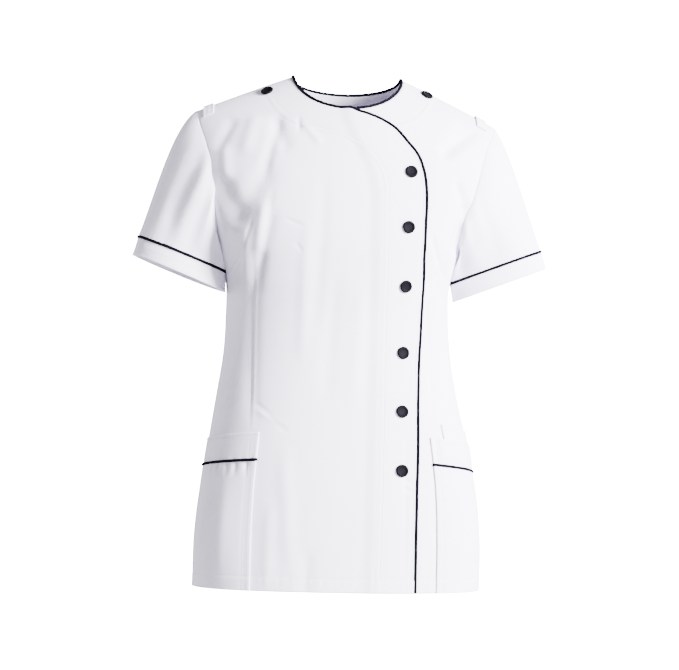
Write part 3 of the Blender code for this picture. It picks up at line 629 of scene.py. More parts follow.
# %% Heads and edges
overlap_path = curved([place_of(x, z) for x, z in OVERLAP_EDGE])
corner_at = int(np.argmin(np.abs(at(overlap_path, small=0)[:, 2] - OVERLAP_EDGE[OVERLAP_CORNER][1])))
right_neck = neckline(-NECK_END, 0.0, NECK_DROP_FRONT, False, 200)
right_neck[0] = neck_points[-1]
right_head = evenly(np.concatenate([right_neck, overlap_path[1 : corner_at + 1]]), RIGHT_STEPS)
right_edge = evenly(overlap_path[corner_at:][::-1], PANEL_STEPS)
left_edge = evenly(curved([place_of(x, z) for x, z in UNDERLAP_EDGE])[::-1], PANEL_STEPS)
left_head = neckline(NECK_END, UNDERLAP_EDGE[0][0], NECK_DROP_FRONT, False, LEFT_STEPS)
left_head[0], left_head[-1] = neck_points[1], left_edge[-1]
back_head = neckline(NECK_END, -NECK_END, NECK_DROP_BACK, True, BACK_STEPS)
back_head[0], back_head[-1] = to_back(neck_points[1]), to_back(neck_points[-1])
overlap_length = np.linalg.norm(np.diff(at(overlap_path, small=0), axis=0), axis=1).sum()
print("the overlap's edge is", round(float(overlap_length), 3), "m long")

# %% [markdown]
# Sewn lines raise the cloth
# A facing stitched down behind the front shows as a fine ridge, and so do the seams where their
# allowances lie inside. These lines are paths of their own, and the cloth rises by half a
# millimetre along them.

# %% Ridge lines over the facing, seams and hem
FACING_LINE = (
    (-0.1180, -0.0279), (-0.1002, -0.0588), (-0.0751, -0.0771), (-0.0429, -0.0858),
    (-0.0079, -0.0954), (0.0204, -0.1127), (0.0402, -0.1330), (0.0490, -0.1556),
    (0.0508, -0.2042), (0.0520, -0.3407), (0.0516, -0.4942), (0.0508, -0.6049), (0.0485, HEM_Z),
)
LEFT_FACING_LINE = (
    (0.1223, -0.0280), (0.1121, -0.0479), (0.0933, -0.0679), (0.0711, -0.0770), (0.0400, -0.0890),
)
HEM_DEPTH, SEAM_RIDGE, HEM_GROOVE = 0.020, 0.0016, 0.0014


def smooth_line(marks, count=240):
    """A chalk line through its marks, as even x and z points."""
    line = curved(np.asarray(marks, float))
    run = np.concatenate([[0], np.cumsum(np.linalg.norm(np.diff(line, axis=0), axis=1))])
    spaced = np.linspace(0, run[-1], count)
    return np.stack([np.interp(spaced, run, line[:, k]) for k in (0, 1)], -1)


def distance_to(line, x, z):
    """The distance from each point to a chalk line, taken to its nearest short piece."""
    best = np.full(x.shape, np.inf)
    for (x0, z0), (x1, z1) in zip(line[:-1], line[1:]):
        dx, dz = x1 - x0, z1 - z0
        t = np.clip(((x - x0) * dx + (z - z0) * dz) / (dx * dx + dz * dz), 0, 1)
        best = np.minimum(best, np.hypot(x - x0 - t * dx, z - z0 - t * dz))
    return best


def sewn_relief(points, lines, hem=True):
    """Heights of the ridges beside sewn lines: a fine ridge with a stitched groove next to it."""
    x, z = points[..., 0], points[..., 2]
    total = np.zeros(x.shape)
    for line, height in lines:
        away = distance_to(smooth_line(line, 60), x, z)
        total += height * (ridge(away, 0, SEAM_RIDGE) - 0.4 * ridge(away, 0.004, SEAM_RIDGE))
    if hem:
        up = z - HEM_Z
        total -= 0.00035 * ridge(up, HEM_DEPTH, HEM_GROOVE)
        total += 0.0005 * ease((HEM_DEPTH - up) / 0.003)
        pucker = np.sin(x * 520) + 0.7 * np.sin(x * 811 + 1.3)
        total += 0.00016 * pucker * ridge(up, 0.016, 0.008)
    return total


print("facing line", len(FACING_LINE), "marks, hem", 1000 * HEM_DEPTH, "mm deep")

# %% [markdown]
# Where the sleeves meet the armholes
# A sleeve starts on the armhole's own points and ends on an ellipse at the cuff. At the armhole the
# panel and the sleeve share one direction through their walls, so the seam closes without a step.

# %% Sleeve rings and armhole joins
# Columns: seam x and z, hem x and z, tilt of the cuff, then the drop and reach of the sleeve head
SLEEVES = {
    -1: (-0.2405, -0.2605, -0.2450, -0.2880, 21.0, 36.0, 0.62),
    1: (0.2240, -0.2700, 0.2290, -0.2965, 21.0, 54.0, 0.62),
}
SLEEVE_Y, SEAM_HALF_AXES, CUFF_HALF_AXES = -0.006, (0.0670, 0.0430), (0.0705, 0.0450)
SLEEVE_AXIS_DEG, SLEEVE_FOLDS, SLEEVE_FOLD_DEPTH, SLEEVE_STEPS = 20.0, 5, 0.0016, 90
# How far each cuff settles in: at its outer end, then at its front by the side, at the seam and the hem
SLEEVE_SETTLES = {-1: (0.0065, 0.0125, 0.0150), 1: (-0.0020, 0.0115, 0.0060)}
SETTLE_AT, SETTLE_WIDTH = math.radians(148), math.radians(36)


def sleeve_axis(side):
    """The direction down the sleeve."""
    lean = math.radians(SLEEVE_AXIS_DEG)
    return np.array([side * math.sin(lean), 0, -math.cos(lean)])


def armhole_ring(side):
    """Armhole points from the shoulder tip, down the front, and up the back."""
    front, back = at(armhole(side, False), small=0), at(armhole(side, True), small=0)
    return np.concatenate([front[::-1], back[1:-1]])


def cuff_ring(side, centre, half_axes):
    """An ellipse square to the sleeve, and each point's angle, 0 at the outer end."""
    tilt = math.radians(SLEEVES[side][4])
    angle = np.arange(2 * ARMHOLE_STEPS) * math.pi / ARMHOLE_STEPS
    outward = np.array([side * math.cos(tilt), 0, math.sin(tilt)])
    outer_in, front_above, front_below = SLEEVE_SETTLES[side]
    front_in = front_below if half_axes == CUFF_HALF_AXES else front_above
    inward = outer_in * (1 + np.cos(angle)) / 2
    inward = inward + front_in * ridge(angle, SETTLE_AT, SETTLE_WIDTH)
    reach = half_axes[0] * np.cos(angle) - inward
    line = np.array([centre[0], SLEEVE_Y, centre[1]]) + reach[:, None] * outward
    return line - half_axes[1] * np.sin(angle)[:, None] * np.array([0, 1, 0]), angle


def ring_normals(grid):
    """Unit outward normals of rows of rings."""
    round_it = np.roll(grid, -1, 1) - np.roll(grid, 1, 1)
    normal = np.cross(round_it, np.gradient(grid, axis=0))
    away = (normal * (grid - grid.mean(1, keepdims=True))).sum(-1).mean(-1)
    return unit(normal * np.sign(away)[:, None, None])


print("cuffs settle in by up to", 1000 * max(SLEEVE_SETTLES[-1]), "mm")

# %% [markdown]
# Sleeve grids
# Rings run from the armhole to the cuff. Creases run down them and turn a little on the way.

# %% Sleeve grids and joins
# Lengthwise folds of each sleeve: angle in degrees at the head and at the cuff, width, height
SLEEVE_CREASES = {
    -1: ((34, 50, 10, 0.0016), (56, 66, 8, -0.0016), (74, 82, 8, 0.0018), (92, 98, 7, -0.0014),
         (108, 112, 8, 0.0016), (128, 126, 8, -0.0018), (146, 142, 8, 0.0012),
         (250, 230, 16, -0.0025), (300, 310, 14, 0.0022)),
    1: ((50, 66, 14, 0.0018), (84, 92, 10, -0.0016), (118, 112, 9, 0.0020), (138, 134, 8, -0.0030),
        (250, 230, 16, -0.0025), (300, 310, 14, 0.0022)),
}


def sleeve_grid(side):
    """Hermite curves from the armhole to the cuff seam, with lengthwise folds pushed out."""
    seam_x, seam_z, _, _, _, drop, reach = SLEEVES[side]
    start = armhole_ring(side)
    end, angle = cuff_ring(side, (seam_x, seam_z), SEAM_HALF_AXES)
    high = np.array([side * math.cos(math.radians(drop)), 0, -math.sin(math.radians(drop))])
    w = ((1 + np.cos(angle)) / 2)[:, None]
    leave = w * high * reach + (1 - w) * np.array([side * 0.12, 0, -1.0])
    leave = leave + np.sin(angle)[:, None] * np.array([0, -0.30, 0])
    long = np.linalg.norm(end - start, axis=1, keepdims=True)
    t = np.linspace(0, 1, SLEEVE_STEPS + 1)[:, None, None]
    grid = (1 + 2 * t) * (1 - t) ** 2 * start + t * (1 - t) ** 2 * long * leave
    grid = grid + t * t * (3 - 2 * t) * end + t * t * (t - 1) * long * sleeve_axis(side)
    t = t[..., 0]
    push = SLEEVE_FOLD_DEPTH * np.sin(SLEEVE_FOLDS * angle + 0.6)
    push = push * (1 - w[:, 0] ** 4) * np.sin(math.pi * t) ** 2
    for head, foot, width, height in SLEEVE_CREASES[side]:
        centre = np.radians(head + (foot - head) * t)
        away = (angle - centre + math.pi) % (2 * math.pi) - math.pi
        fade = ease(t / 0.25) * (1 - 0.75 * ease((t - 0.7) / 0.3))
        push = push + height * fade * ridge(away, 0, math.radians(width))
    return grid + push[..., None] * ring_normals(grid), angle


sleeves = {s: sleeve_grid(s) for s in SIDES}


def armhole_join(side):
    """At each ring point: the direction through both walls, and the one from panel to sleeve."""
    paths = (armhole(side, False)[::-1], armhole(side, True)[1:-1])
    panel = np.concatenate([torso_normal(p[:, 0], p[:, 1]) for p in paths])
    total = panel + ring_normals(sleeves[side][0])[0]
    total[[0, ARMHOLE_STEPS], 1] = 0.0
    size = np.linalg.norm(total, axis=1, keepdims=True)
    line = armhole_ring(side)
    apart = unit(np.cross(np.roll(line, -1, 0) - np.roll(line, 1, 0), total))
    return total / size * np.minimum(2 / size, 1.5), apart * np.sign(apart[:, :1] * side)


joins = {s: armhole_join(s) for s in SIDES}
print("armhole points", len(joins[1][0]), "and sleeve rings", SLEEVE_STEPS + 1)

# %% [markdown]
# Panels
# Each front and the back is one grid between its side, its edge, the hem and the neck. The fronts
# read the ridge lines as well. Each armhole edge is drawn back a fifth of a millimetre from the
# sleeve, which leaves a seam line.


# %% Panels of the body
def panel(name, grid, lift, seams, back, lines=()):
    """A front or back panel: the skin plus sewn relief, with its seam edges drawn back."""
    normals = torso_normal(grid[..., 0], grid[..., 1])
    outer = at(grid, lift)
    outer = outer + normals * sewn_relief(outer, lines)[..., None]
    rows = np.arange(SIDE_STEPS, SIDE_STEPS + ARMHOLE_STEPS + 1)
    count, steps = 2 * ARMHOLE_STEPS, SIDE_STEPS + ARMHOLE_STEPS - rows
    around = (count - steps) % count if back else steps
    for column, side in seams.items():
        normals[rows, column] = joins[side][0][around]
        outer[rows, column] = armhole_ring(side)[around]
    inner = outer - WALL * normals
    plain = np.concatenate([np.arange(SIDE_STEPS + 1), np.arange(rows[-1], PANEL_STEPS + 1)])
    for column, side in seams.items():
        for points in (outer, inner):
            points[plain, column, 1] += GAP / 2 if back else -GAP / 2
            points[rows, column] -= joins[side][1][around] * GAP / 2
    return cloth(name, outer, inner, cloth_uv(grid))


right_foot = straight((-math.pi / 2, HEM_Z), right_edge[0], RIGHT_STEPS)
right_grid = between(outer_seam(-1, False), right_edge, right_foot, right_head)
edge_ridge = tuple((x - 0.007, z - 0.004) for x, z in OVERLAP_EDGE[1:])
right_lines = ((FACING_LINE, 0.0006), (edge_ridge, 0.0003))
panel("right_front_cloth", right_grid, overlap_lift(right_grid), {0: -1}, False, right_lines)
left_foot = straight((math.pi / 2, HEM_Z), left_edge[0], LEFT_STEPS)
left_grid = between(outer_seam(1, False), left_edge, left_foot, left_head)
left_flat = np.zeros(left_grid.shape[:2])
panel("left_front_cloth", left_grid, left_flat, {0: 1}, False, ((LEFT_FACING_LINE, 0.0006),))
back_foot = straight((math.pi / 2, HEM_Z), (3 * math.pi / 2, HEM_Z), BACK_STEPS)
back_grid = between(outer_seam(1, True), outer_seam(-1, True), back_foot, back_head)
panel("back_cloth", back_grid, np.zeros(back_grid.shape[:2]), {0: 1, BACK_STEPS: -1}, True)
print("panels", {n: len(o.data.polygons) for n, o in made.items()})

# %% [markdown]
# Sleeves and cuffs
# Each sleeve hangs from its armhole in smooth curves, with soft folds running down to the cuff. The
# cuff is a separate band, sewn on with piping between, so it stands a little proud.

# %% Sleeves and cuff bands
PIPING_RADIUS, TUBE_RADIUS = 0.0014, 0.0021
SEAM_TO_EDGE = PIPING_RADIUS + 0.0003
CUFF_STEPS, SLEEVE_UV_REACH, SLEEVE_UV_LENGTH, CUFF_UV_LENGTH = 20, 0.06, 0.2, 0.03
cuffs = {}


def ring_uv(angle, down, length):
    """Round the sleeve and down it, as metres of cloth."""
    return np.stack(np.broadcast_arrays(angle * SLEEVE_UV_REACH, length * down), -1)


for side, word in SIDES.items():
    grid, angle = sleeves[side]
    outer, axis = grid.copy(), sleeve_axis(side)
    normals = ring_normals(outer)
    normals[0] = joins[side][0]
    t = np.linspace(0, 1, SLEEVE_STEPS + 1)[:, None]
    gathers = 0.00035 * np.sin(46 * angle + 0.5 * np.sin(7 * angle)) * ease((t - 0.93) / 0.07)
    outer = outer + normals * gathers[..., None] * (t > 0)[..., None]
    inner = outer - WALL * normals
    for points in (outer, inner):
        points[0] += joins[side][1] * GAP / 2
        points[-1] -= axis * SEAM_TO_EDGE
    uv = ring_uv(angle, t, SLEEVE_UV_LENGTH)
    cloth(word + "_sleeve_cloth", outer, inner, uv, ring_shape=True)

    seam_x, seam_z, hem_x, hem_z = SLEEVES[side][:4]
    top, angle = cuff_ring(side, (seam_x, seam_z), SEAM_HALF_AXES)
    bottom, angle = cuff_ring(side, (hem_x, hem_z), CUFF_HALF_AXES)
    t = np.linspace(0, 1, CUFF_STEPS + 1)[:, None, None]
    band = top * (1 - t) + bottom * t
    band[0] += axis * SEAM_TO_EDGE
    normals = ring_normals(band)
    t = t[..., 0]
    waves = 0.0005 * np.sin(3 * angle + side) * np.sin(math.pi * t)
    streaks = 0.00025 * ridge(t, 0.45, 0.05) + 0.0004 * ridge(t, 0.95, 0.06)
    band = band + normals * (waves + streaks)[..., None]
    uv = ring_uv(angle, t, CUFF_UV_LENGTH)
    cloth(word + "_cuff_cloth", band, band - WALL * ring_normals(band), uv, ring_shape=True)
    cuffs[side] = (top, bottom)
print("sleeve faces", {n: len(o.data.polygons) for n, o in made.items() if "sleeve" in n or "cuff" in n})

# %% [markdown]
# Piping
# Bias binding folded over a cord makes a round navy edge. It is a circle carried along the edge of
# the panel, with its centre just beyond the cloth. Its own UV runs along it and round it, so the
# slanting weave of the binding follows the curve.

# %% Round piping along a path
PIPING_SIDES, PIPING_LIFT = 12, 0.0009
NECK_PIPING_START = 0.0095  # the neck's piping ends here, where the overlap's runs on
CAP_RINGS = ((0.75, 0.55), (0.0, 0.85))  # radius and reach of each end's two rings, as radii


def piping(name, line, normals, sideways, ring_shape=False):
    """A tube: a circle in the plane of normals and sideways, at each point of the line."""
    angle = np.arange(PIPING_SIDES) * 2 * math.pi / PIPING_SIDES
    cosine, sine = np.cos(angle)[None, :, None], np.sin(angle)[None, :, None]
    across = cosine * sideways[:, None] + sine * normals[:, None]
    points = line[:, None] + TUBE_RADIUS * across
    rows = len(line)
    run = np.concatenate([[0], np.cumsum(np.linalg.norm(np.diff(line, axis=0), axis=1))])
    uv = np.stack(np.broadcast_arrays(run[:, None], angle[None] * PIPING_RADIUS), -1)
    if ring_shape:
        index = np.arange(rows * PIPING_SIDES).reshape(rows, PIPING_SIDES)
        index = np.concatenate([index, index[:1]])
        i, j = np.meshgrid(np.arange(rows), np.arange(PIPING_SIDES), indexing="ij")
        k = (j + 1) % PIPING_SIDES
        quads = np.stack([index[i, j], index[i, k], index[i + 1, k], index[i + 1, j]], -1).reshape(-1, 4)
        points, uv = points.reshape(-1, 3), uv.reshape(-1, 2)
    else:
        along = unit(np.gradient(line, axis=0))
        start = [line[0] + TUBE_RADIUS * (r * across[0] - out * along[0]) for r, out in CAP_RINGS]
        close = [line[-1] + TUBE_RADIUS * (r * across[-1] + out * along[-1]) for r, out in CAP_RINGS]
        points = np.concatenate([np.stack(start[::-1]), points, np.stack(close)])
        uv = np.concatenate([uv[:1], uv[:1], uv, uv[-1:], uv[-1:]])
        quads = cell_corners(rows + 4, PIPING_SIDES, True)
        points, uv = points.reshape(-1, 3), uv.reshape(-1, 2)
    if not faces_outward(points, quads):
        quads = quads[:, ::-1]
    return put_mesh(name, points, quads, uv)


def edge_piping(name, path, lift):
    """Piping just outside a panel's edge, level with the middle of its wall."""
    points, normals = at(path, small=0), torso_normal(path[:, 0], path[:, 1])
    sideways = -unit(np.cross(np.gradient(points, axis=0), normals))
    line = points + sideways * SEAM_TO_EDGE + normals * (lift - WALL / 2 + PIPING_LIFT)[:, None]
    for end, inner in ((0, 1), (-1, -2)):
        line[end] = line[end] + unit(line[inner] - line[end]) * PIPING_RADIUS
    return piping(name, line, normals, sideways)


front_path = np.concatenate([right_head, right_edge[::-1][1:]])
edge_piping("front_edge_piping", front_path, overlap_lift(front_path))
neck_front = left_head[::-1]
neck_front = neck_front[at(neck_front, small=0)[:, 0] > NECK_PIPING_START]
neck_path = np.concatenate([neck_front[:-1], back_head])
edge_piping("neck_edge_piping", neck_path, np.zeros(len(neck_path)))
for side, word in SIDES.items():
    top, axis = cuffs[side][0], sleeve_axis(side)
    away = ring_normals(np.stack([top - axis * 0.01, top, top + axis * 0.01]))[1]
    line = top + away * (PIPING_RADIUS - WALL)
    piping(word + "_cuff_seam_piping", line, away, np.broadcast_to(axis, away.shape), True)
print("piping", [n for n in made if "piping" in n])

# %% [markdown]
# Pockets
# Each hip pocket is a patch on the front, from a stitched inner edge round to the side seam and
# down to the hem. A plain band closes its top. The pocket is eased into the band, so small puckers
# start at the piping and die out below it.

# %% Pocket bodies, bands and their piping
# Columns: the inner edge's x at the top and hem, then the height of the top and of the band's seam,
# each at the inner edge and at the side
POCKETS = {
    -1: (-0.1190, -0.1275, -0.5161, -0.5265, -0.5545, -0.5650),
    1: (0.1215, 0.1340, -0.5196, -0.5310, -0.5572, -0.5690),
}
POCKET_SIDE_TURN, POCKET_FULLNESS = math.pi / 2 - 0.03, 0.0050
INNER_POCKET_X, INNER_POCKET_TOP, INNER_POCKET_FOOT = 0.1380, (-0.5002, -0.5120), (-0.5360, -0.5420)
PUCKERS = {-1: (0.10, 0.22, 0.33, 0.46, 0.57, 0.69), 1: (0.3, 0.6)}
PUCKER_DEPTH, PUCKER_SLANT, PUCKER_WIDTH = {-1: 0.0019, 1: 0.0004}, 0.045, 0.026
# Long swells of each pocket's face: place, width, height
SWELLS, SWELL_SHARE = ((0.30, 0.08, 0.0012), (0.62, 0.10, 0.0014), (0.86, 0.06, 0.0008)), {-1: 1, 1: 0.4}
POCKET_ROWS, POCKET_COLUMNS, BAND_ROWS, BAND_COLUMNS = 110, 70, 30, 60
FOLLOWS = 0.4  # the share of the front's small folds that shows through a pocket
print("puckers below each band", {SIDES[s]: len(p) for s, p in PUCKERS.items()})

# %% [markdown]
# Pocket grids
# Each pocket follows the front beneath it. Puckers start at the band's seam and die out below,
# and a long swell gives the body of the pocket its fullness.

# %% Pocket grids
pocket_edges = {}
for side, word in SIDES.items():
    top_x, hem_x, top, top_side, seam, seam_side = POCKETS[side]
    turn_top, turn_hem = place_of(top_x, top)[0], place_of(hem_x, HEM_Z)[0]
    side_turn = side * POCKET_SIDE_TURN

    def inner_turn(z):
        """The turn of the pocket's inner edge at a height."""
        return turn_top + (turn_hem - turn_top) * (top - z) / (top - HEM_Z)

    def patch(high, high_side, low, low_side, rows, columns):
        """A four-cornered region between the pocket's inner edge and the side seam."""
        u, v = np.linspace(0, 1, columns + 1)[None, :], np.linspace(0, 1, rows + 1)[:, None]
        level = (1 - v) * (low + (low_side - low) * u) + v * (high + (high_side - high) * u)
        start = inner_turn((1 - v) * low + v * high)
        return np.stack([start + (side_turn - start) * u, level], -1), u, v

    below_seam = (seam - SEAM_TO_EDGE, seam_side - SEAM_TO_EDGE)
    body, u, v = patch(*below_seam, HEM_Z, HEM_Z, POCKET_ROWS, POCKET_COLUMNS)
    swell = ON_CLOTH + POCKET_FULLNESS * np.sin(math.pi * u) * np.sin(math.pi * (0.08 + 0.9 * v)) ** 0.8
    below = (1 - v) * (seam - HEM_Z)
    for n, place in enumerate(PUCKERS[side]):
        length = 0.022 + 0.006 * math.sin(3.1 * n)
        sharp = ridge(u + PUCKER_SLANT * (1 - v), place, PUCKER_WIDTH)
        dies = ease(below / 0.002) * (1 - ease((below - 0.003) / length))
        swell = swell - PUCKER_DEPTH[side] * sharp * dies
    for place, width, height in SWELLS:
        swell = swell + SWELL_SHARE[side] * height * ridge(u, place, width) * np.sin(math.pi * v)
    up = v * (seam - HEM_Z) + 0 * u
    swell = swell - 0.0003 * ridge(up, HEM_DEPTH, HEM_GROOVE) + 0.0003 * ease((HEM_DEPTH - up) / 0.003)
    edge_fold = 0.0004 * ridge(u, 0, 0.035) - 0.0003 * ridge(u, 0.075, 0.02)
    swell = swell + edge_fold * (v > 0)
    outer, inner = at(body, swell + POCKET_WALL, FOLLOWS), at(body, swell, FOLLOWS)
    cloth(word + "_pocket_cloth", outer, inner, cloth_uv(body))

    above_seam = (seam + SEAM_TO_EDGE, seam_side + SEAM_TO_EDGE)
    band, u, v = patch(top, top_side, *above_seam, BAND_ROWS, BAND_COLUMNS)
    stand = np.full(band.shape[:2], ON_CLOTH)
    if side > 0:
        inner_start = place_of(INNER_POCKET_X, top)[0]
        over_inner = ease((band[..., 0] - inner_start + 0.06) / 0.04)
        stand = stand + (POCKET_WALL + ON_CLOTH) * over_inner * ease(v / 0.45)
    ripple = 0.00025 * np.sin(u * 60 + 2 * np.sin(u * 9)) * ridge(v, 0, 0.16)
    rim = 0.0003 * ridge(v, 1, 0.08) - 0.00025 * ridge(v, 0.86, 0.03)
    rim = rim + 0.0003 * ridge(u, 0, 0.03) - 0.00025 * ridge(u, 0.07, 0.02)
    face = at(band, stand + POCKET_WALL + ripple + rim, FOLLOWS)
    cloth(word + "_pocket_band_cloth", face, at(band, stand, FOLLOWS), cloth_uv(band))

    steps = np.linspace(0, 1, 60)
    start = inner_turn(seam)
    path = np.stack([start + (side_turn - start) * steps, seam + (seam_side - seam) * steps], -1)
    normals = torso_normal(path[:, 0], path[:, 1])
    line = at(path, ON_CLOTH + PIPING_RADIUS, 0)
    piping(word + "_pocket_seam_piping", line, normals, unit(np.cross(np.gradient(line, axis=0), normals)))
    pocket_edges[side] = (body, band, swell, stand)

u, v = np.linspace(0, 1, 41)[None, :], np.linspace(0, 1, 31)[:, None]
start = place_of(INNER_POCKET_X, INNER_POCKET_TOP[0])[0]
level = (1 - v) * (INNER_POCKET_FOOT[0] + (INNER_POCKET_FOOT[1] - INNER_POCKET_FOOT[0]) * u)
level = level + v * (INNER_POCKET_TOP[0] + (INNER_POCKET_TOP[1] - INNER_POCKET_TOP[0]) * u)
inner_pocket = np.stack([start + (POCKET_SIDE_TURN - start) * u + 0 * v, level], -1)
rim = 0.0003 * ridge(v, 1, 0.10) - 0.0003 * ridge(v, 0.84, 0.04) + 0 * u
face = at(inner_pocket, ON_CLOTH + POCKET_WALL + rim, FOLLOWS)
under = at(inner_pocket, ON_CLOTH + 0 * rim, FOLLOWS)
cloth("left_inner_pocket_cloth", face, under, cloth_uv(inner_pocket))
print("pocket faces", {n: len(o.data.polygons) for n, o in made.items() if "pocket" in n})

# %% [markdown]
# Loops over the shoulder seams
# A small folded strip is sewn across each shoulder seam near the sleeve.

# %% Shoulder loops
LOOP_X, LOOP_DROP = {-1: (-0.2065, -0.1925), 1: (0.1880, 0.2020)}, 0.017
LOOP_POINTS_ACROSS, LOOP_POINTS_DOWN, LOOP_UV = 25, 41, (0.014, 0.06)
for side, word in SIDES.items():
    x = np.linspace(*LOOP_X[side], LOOP_POINTS_ACROSS)[None, :]
    drop = np.linspace(1, 0, LOOP_POINTS_DOWN)[:, None] ** 1.3 * LOOP_DROP
    front = place_of(x + 0 * drop, shoulder_z(x) - drop)
    front[-1, :, 1] = SHOULDER_LEVEL
    both = (front, to_back(front[::-1][1:]))
    rows = np.concatenate([at(p, ON_CLOTH + 0 * p[..., 0], 0) for p in both])
    normals = np.concatenate([torso_normal(p[..., 0], p[..., 1]) for p in both])
    along, over = np.linspace(0, 1, len(rows))[:, None], np.linspace(0, 1, LOOP_POINTS_ACROSS)[None, :]
    puff = 0.0008 * np.sin(math.pi * along) ** 0.5 + 0.0002 * (np.cos(2 * math.pi * over) ** 2)
    uv = np.stack(np.broadcast_arrays(over * LOOP_UV[0], along * LOOP_UV[1]), -1)
    cloth(word + "_shoulder_loop_cloth", rows + normals * (POCKET_WALL + puff)[..., None], rows, uv)
print("loops", round(1000 * (LOOP_X[1][1] - LOOP_X[1][0]), 1), "mm wide")

# %% [markdown]
# Buttons
# The buttons are matte caps with a raised rim. A profile turned round its middle gives each one,
# and it sits flat on the cloth, facing along the normal there.

# %% Turned buttons
BUTTON_PROFILE = np.array([
    (0.00002, 0.00190), (0.0025, 0.00195), (0.0046, 0.00205), (0.0054, 0.00240), (0.0060, 0.00285),
    (0.0067, 0.00308), (0.0075, 0.00310), (0.0082, 0.00285), (0.0087, 0.00235), (0.0090, 0.00165),
    (0.0090, 0.00095), (0.0087, 0.00035), (0.0081, 0.00003), (0.0040, 0.0), (0.00002, 0.0),
])
FRONT_BUTTONS = (
    (0.0862, -0.1452), (0.0825, -0.2241), (0.0810, -0.3062),
    (0.0800, -0.4004), (0.0798, -0.4837), (0.0805, -0.5666),
)
SHOULDER_BUTTONS = {-1: (-0.1165, -0.0270), 1: (0.1145, -0.0250)}
BUTTON_TURNS, FRONT_BUTTON_LIFT, SHOULDER_BUTTON_LIFT = 64, 0.0004, 0.0008


def button(name, place, lift):
    """The profile, smoothed, turned round the normal at that place."""
    centre, up = at(place, lift, 0), torso_normal(place[0], place[1])
    first = unit(np.cross(up, (0, 0, 1) if abs(up[2]) < 0.9 else (0, 1, 0)))
    second = np.cross(up, first)
    angle = np.arange(BUTTON_TURNS) * 2 * math.pi / BUTTON_TURNS
    spokes = np.cos(angle)[:, None] * first + np.sin(angle)[:, None] * second
    marks = np.arange(len(BUTTON_PROFILE))
    fine = np.linspace(0, marks[-1], 3 * len(marks) - 2)
    profile = np.stack([through(marks, BUTTON_PROFILE[:, k], fine) for k in (0, 1)], -1)
    points = centre + profile[:, 0, None, None] * spokes + profile[:, 1, None, None] * up
    quads = cell_corners(len(profile), BUTTON_TURNS, True)
    if not faces_outward(points, quads):
        quads = quads[:, ::-1]
    return put_mesh(name, points, quads)


for number, (x, z) in enumerate(FRONT_BUTTONS, 1):
    place = place_of(x, z)
    button(f"front_button_{number}", place, float(overlap_lift(place)) + FRONT_BUTTON_LIFT)
for side, (x, z) in SHOULDER_BUTTONS.items():
    button("shoulder_cap_" + SIDES[side], place_of(x, z), SHOULDER_BUTTON_LIFT)
print("buttons", len(FRONT_BUTTONS) + len(SHOULDER_BUTTONS), "of", 2000 * BUTTON_PROFILE[:, 0].max(), "mm")

# %% [markdown]
# Stitches
# A lock stitch shows as short threads, end to end, each sinking at its ends. One small bar is
# repeated along every sewn line, bent to the cloth by the normals there.

# %% Threads along the sewn lines
STITCH_PITCH, STITCH_LENGTH, THREAD = 0.0027, 0.0022, 0.00021
# Four square rings make one bar: place along it in lengths, rise and size in threads
STITCH_RINGS = ((-0.5, -0.2, 0.5), (-0.3, 0.55, 1.0), (0.3, 0.55, 1.0), (0.5, -0.2, 0.5))
ON_BODY, ON_POCKET, ON_CUFF = 0.0002, 0.0001, 0.00045  # how far a seam's threads stand off
STITCH_ASIDE = 0.0035  # how far the stitching lies from the facing's own line
FRONT_MARKS, HEM_MARKS = 400, 600  # points on a front's line and on a hem's
HEM_ENDS_X, HEM_STARTS_X = 0.0985, 0.1060  # the overlap's hem stitches end, the left front's start


def stitches(name, lines):
    """Small square bars set along lines, given as pairs of points and normals."""
    points, quads, start = [], [], 0
    for line, normals in lines:
        run = np.concatenate([[0], np.cumsum(np.linalg.norm(np.diff(line, axis=0), axis=1))])
        spots = np.arange(STITCH_PITCH / 2, run[-1] - STITCH_PITCH / 2, STITCH_PITCH)
        centre = np.stack([np.interp(spots, run, line[:, k]) for k in range(3)], -1)
        up = unit(np.stack([np.interp(spots, run, normals[:, k]) for k in range(3)], -1))
        along = unit(np.stack([np.interp(spots, run, np.gradient(line[:, k], run)) for k in range(3)], -1))
        across = unit(np.cross(up, along))
        for forward, rise, size in STITCH_RINGS:
            middle = centre + along * STITCH_LENGTH * forward + up * THREAD * rise
            for a in range(4):
                turn = math.pi / 4 + a * math.pi / 2
                points.append(middle + THREAD * size * (math.cos(turn) * across + math.sin(turn) * up))
        n = len(spots)
        ring_index = start + np.arange(16)[:, None] * n + np.arange(n)[None, :]
        for low in (0, 4, 8):
            for a in range(4):
                b = (a + 1) % 4
                quads.append(ring_index[[low + a, low + b, low + 4 + b, low + 4 + a]].T)
        quads += [ring_index[[3, 2, 1, 0]].T, ring_index[[12, 13, 14, 15]].T]
        start += 16 * n
    points, quads = np.concatenate(points), np.concatenate(quads)
    if not faces_outward(points, quads):
        quads = quads[:, ::-1]
    return put_mesh(name, points, quads)


print("stitches", 1000 * STITCH_LENGTH, "mm long, one each", 1000 * STITCH_PITCH, "mm")

# %% [markdown]
# Stitch lines of the body
# They follow the hem and the edges of the facings. The hem has three runs: the overlap's, the
# left front's and the back's.


# %% Stitch lines of the body
def on_skin(path, lift, overlapping):
    """Points and normals of a path, lifted, and on the overlap lifted with it."""
    lift = lift + (overlap_lift(path) if overlapping else np.zeros(len(path)))
    return at(path, lift), torso_normal(path[:, 0], path[:, 1])


def on_front(marks, overlapping=True):
    """A chalk line laid on either front."""
    line = smooth_line(marks, FRONT_MARKS)
    return on_skin(place_of(line[:, 0], line[:, 1]), ON_BODY, overlapping)


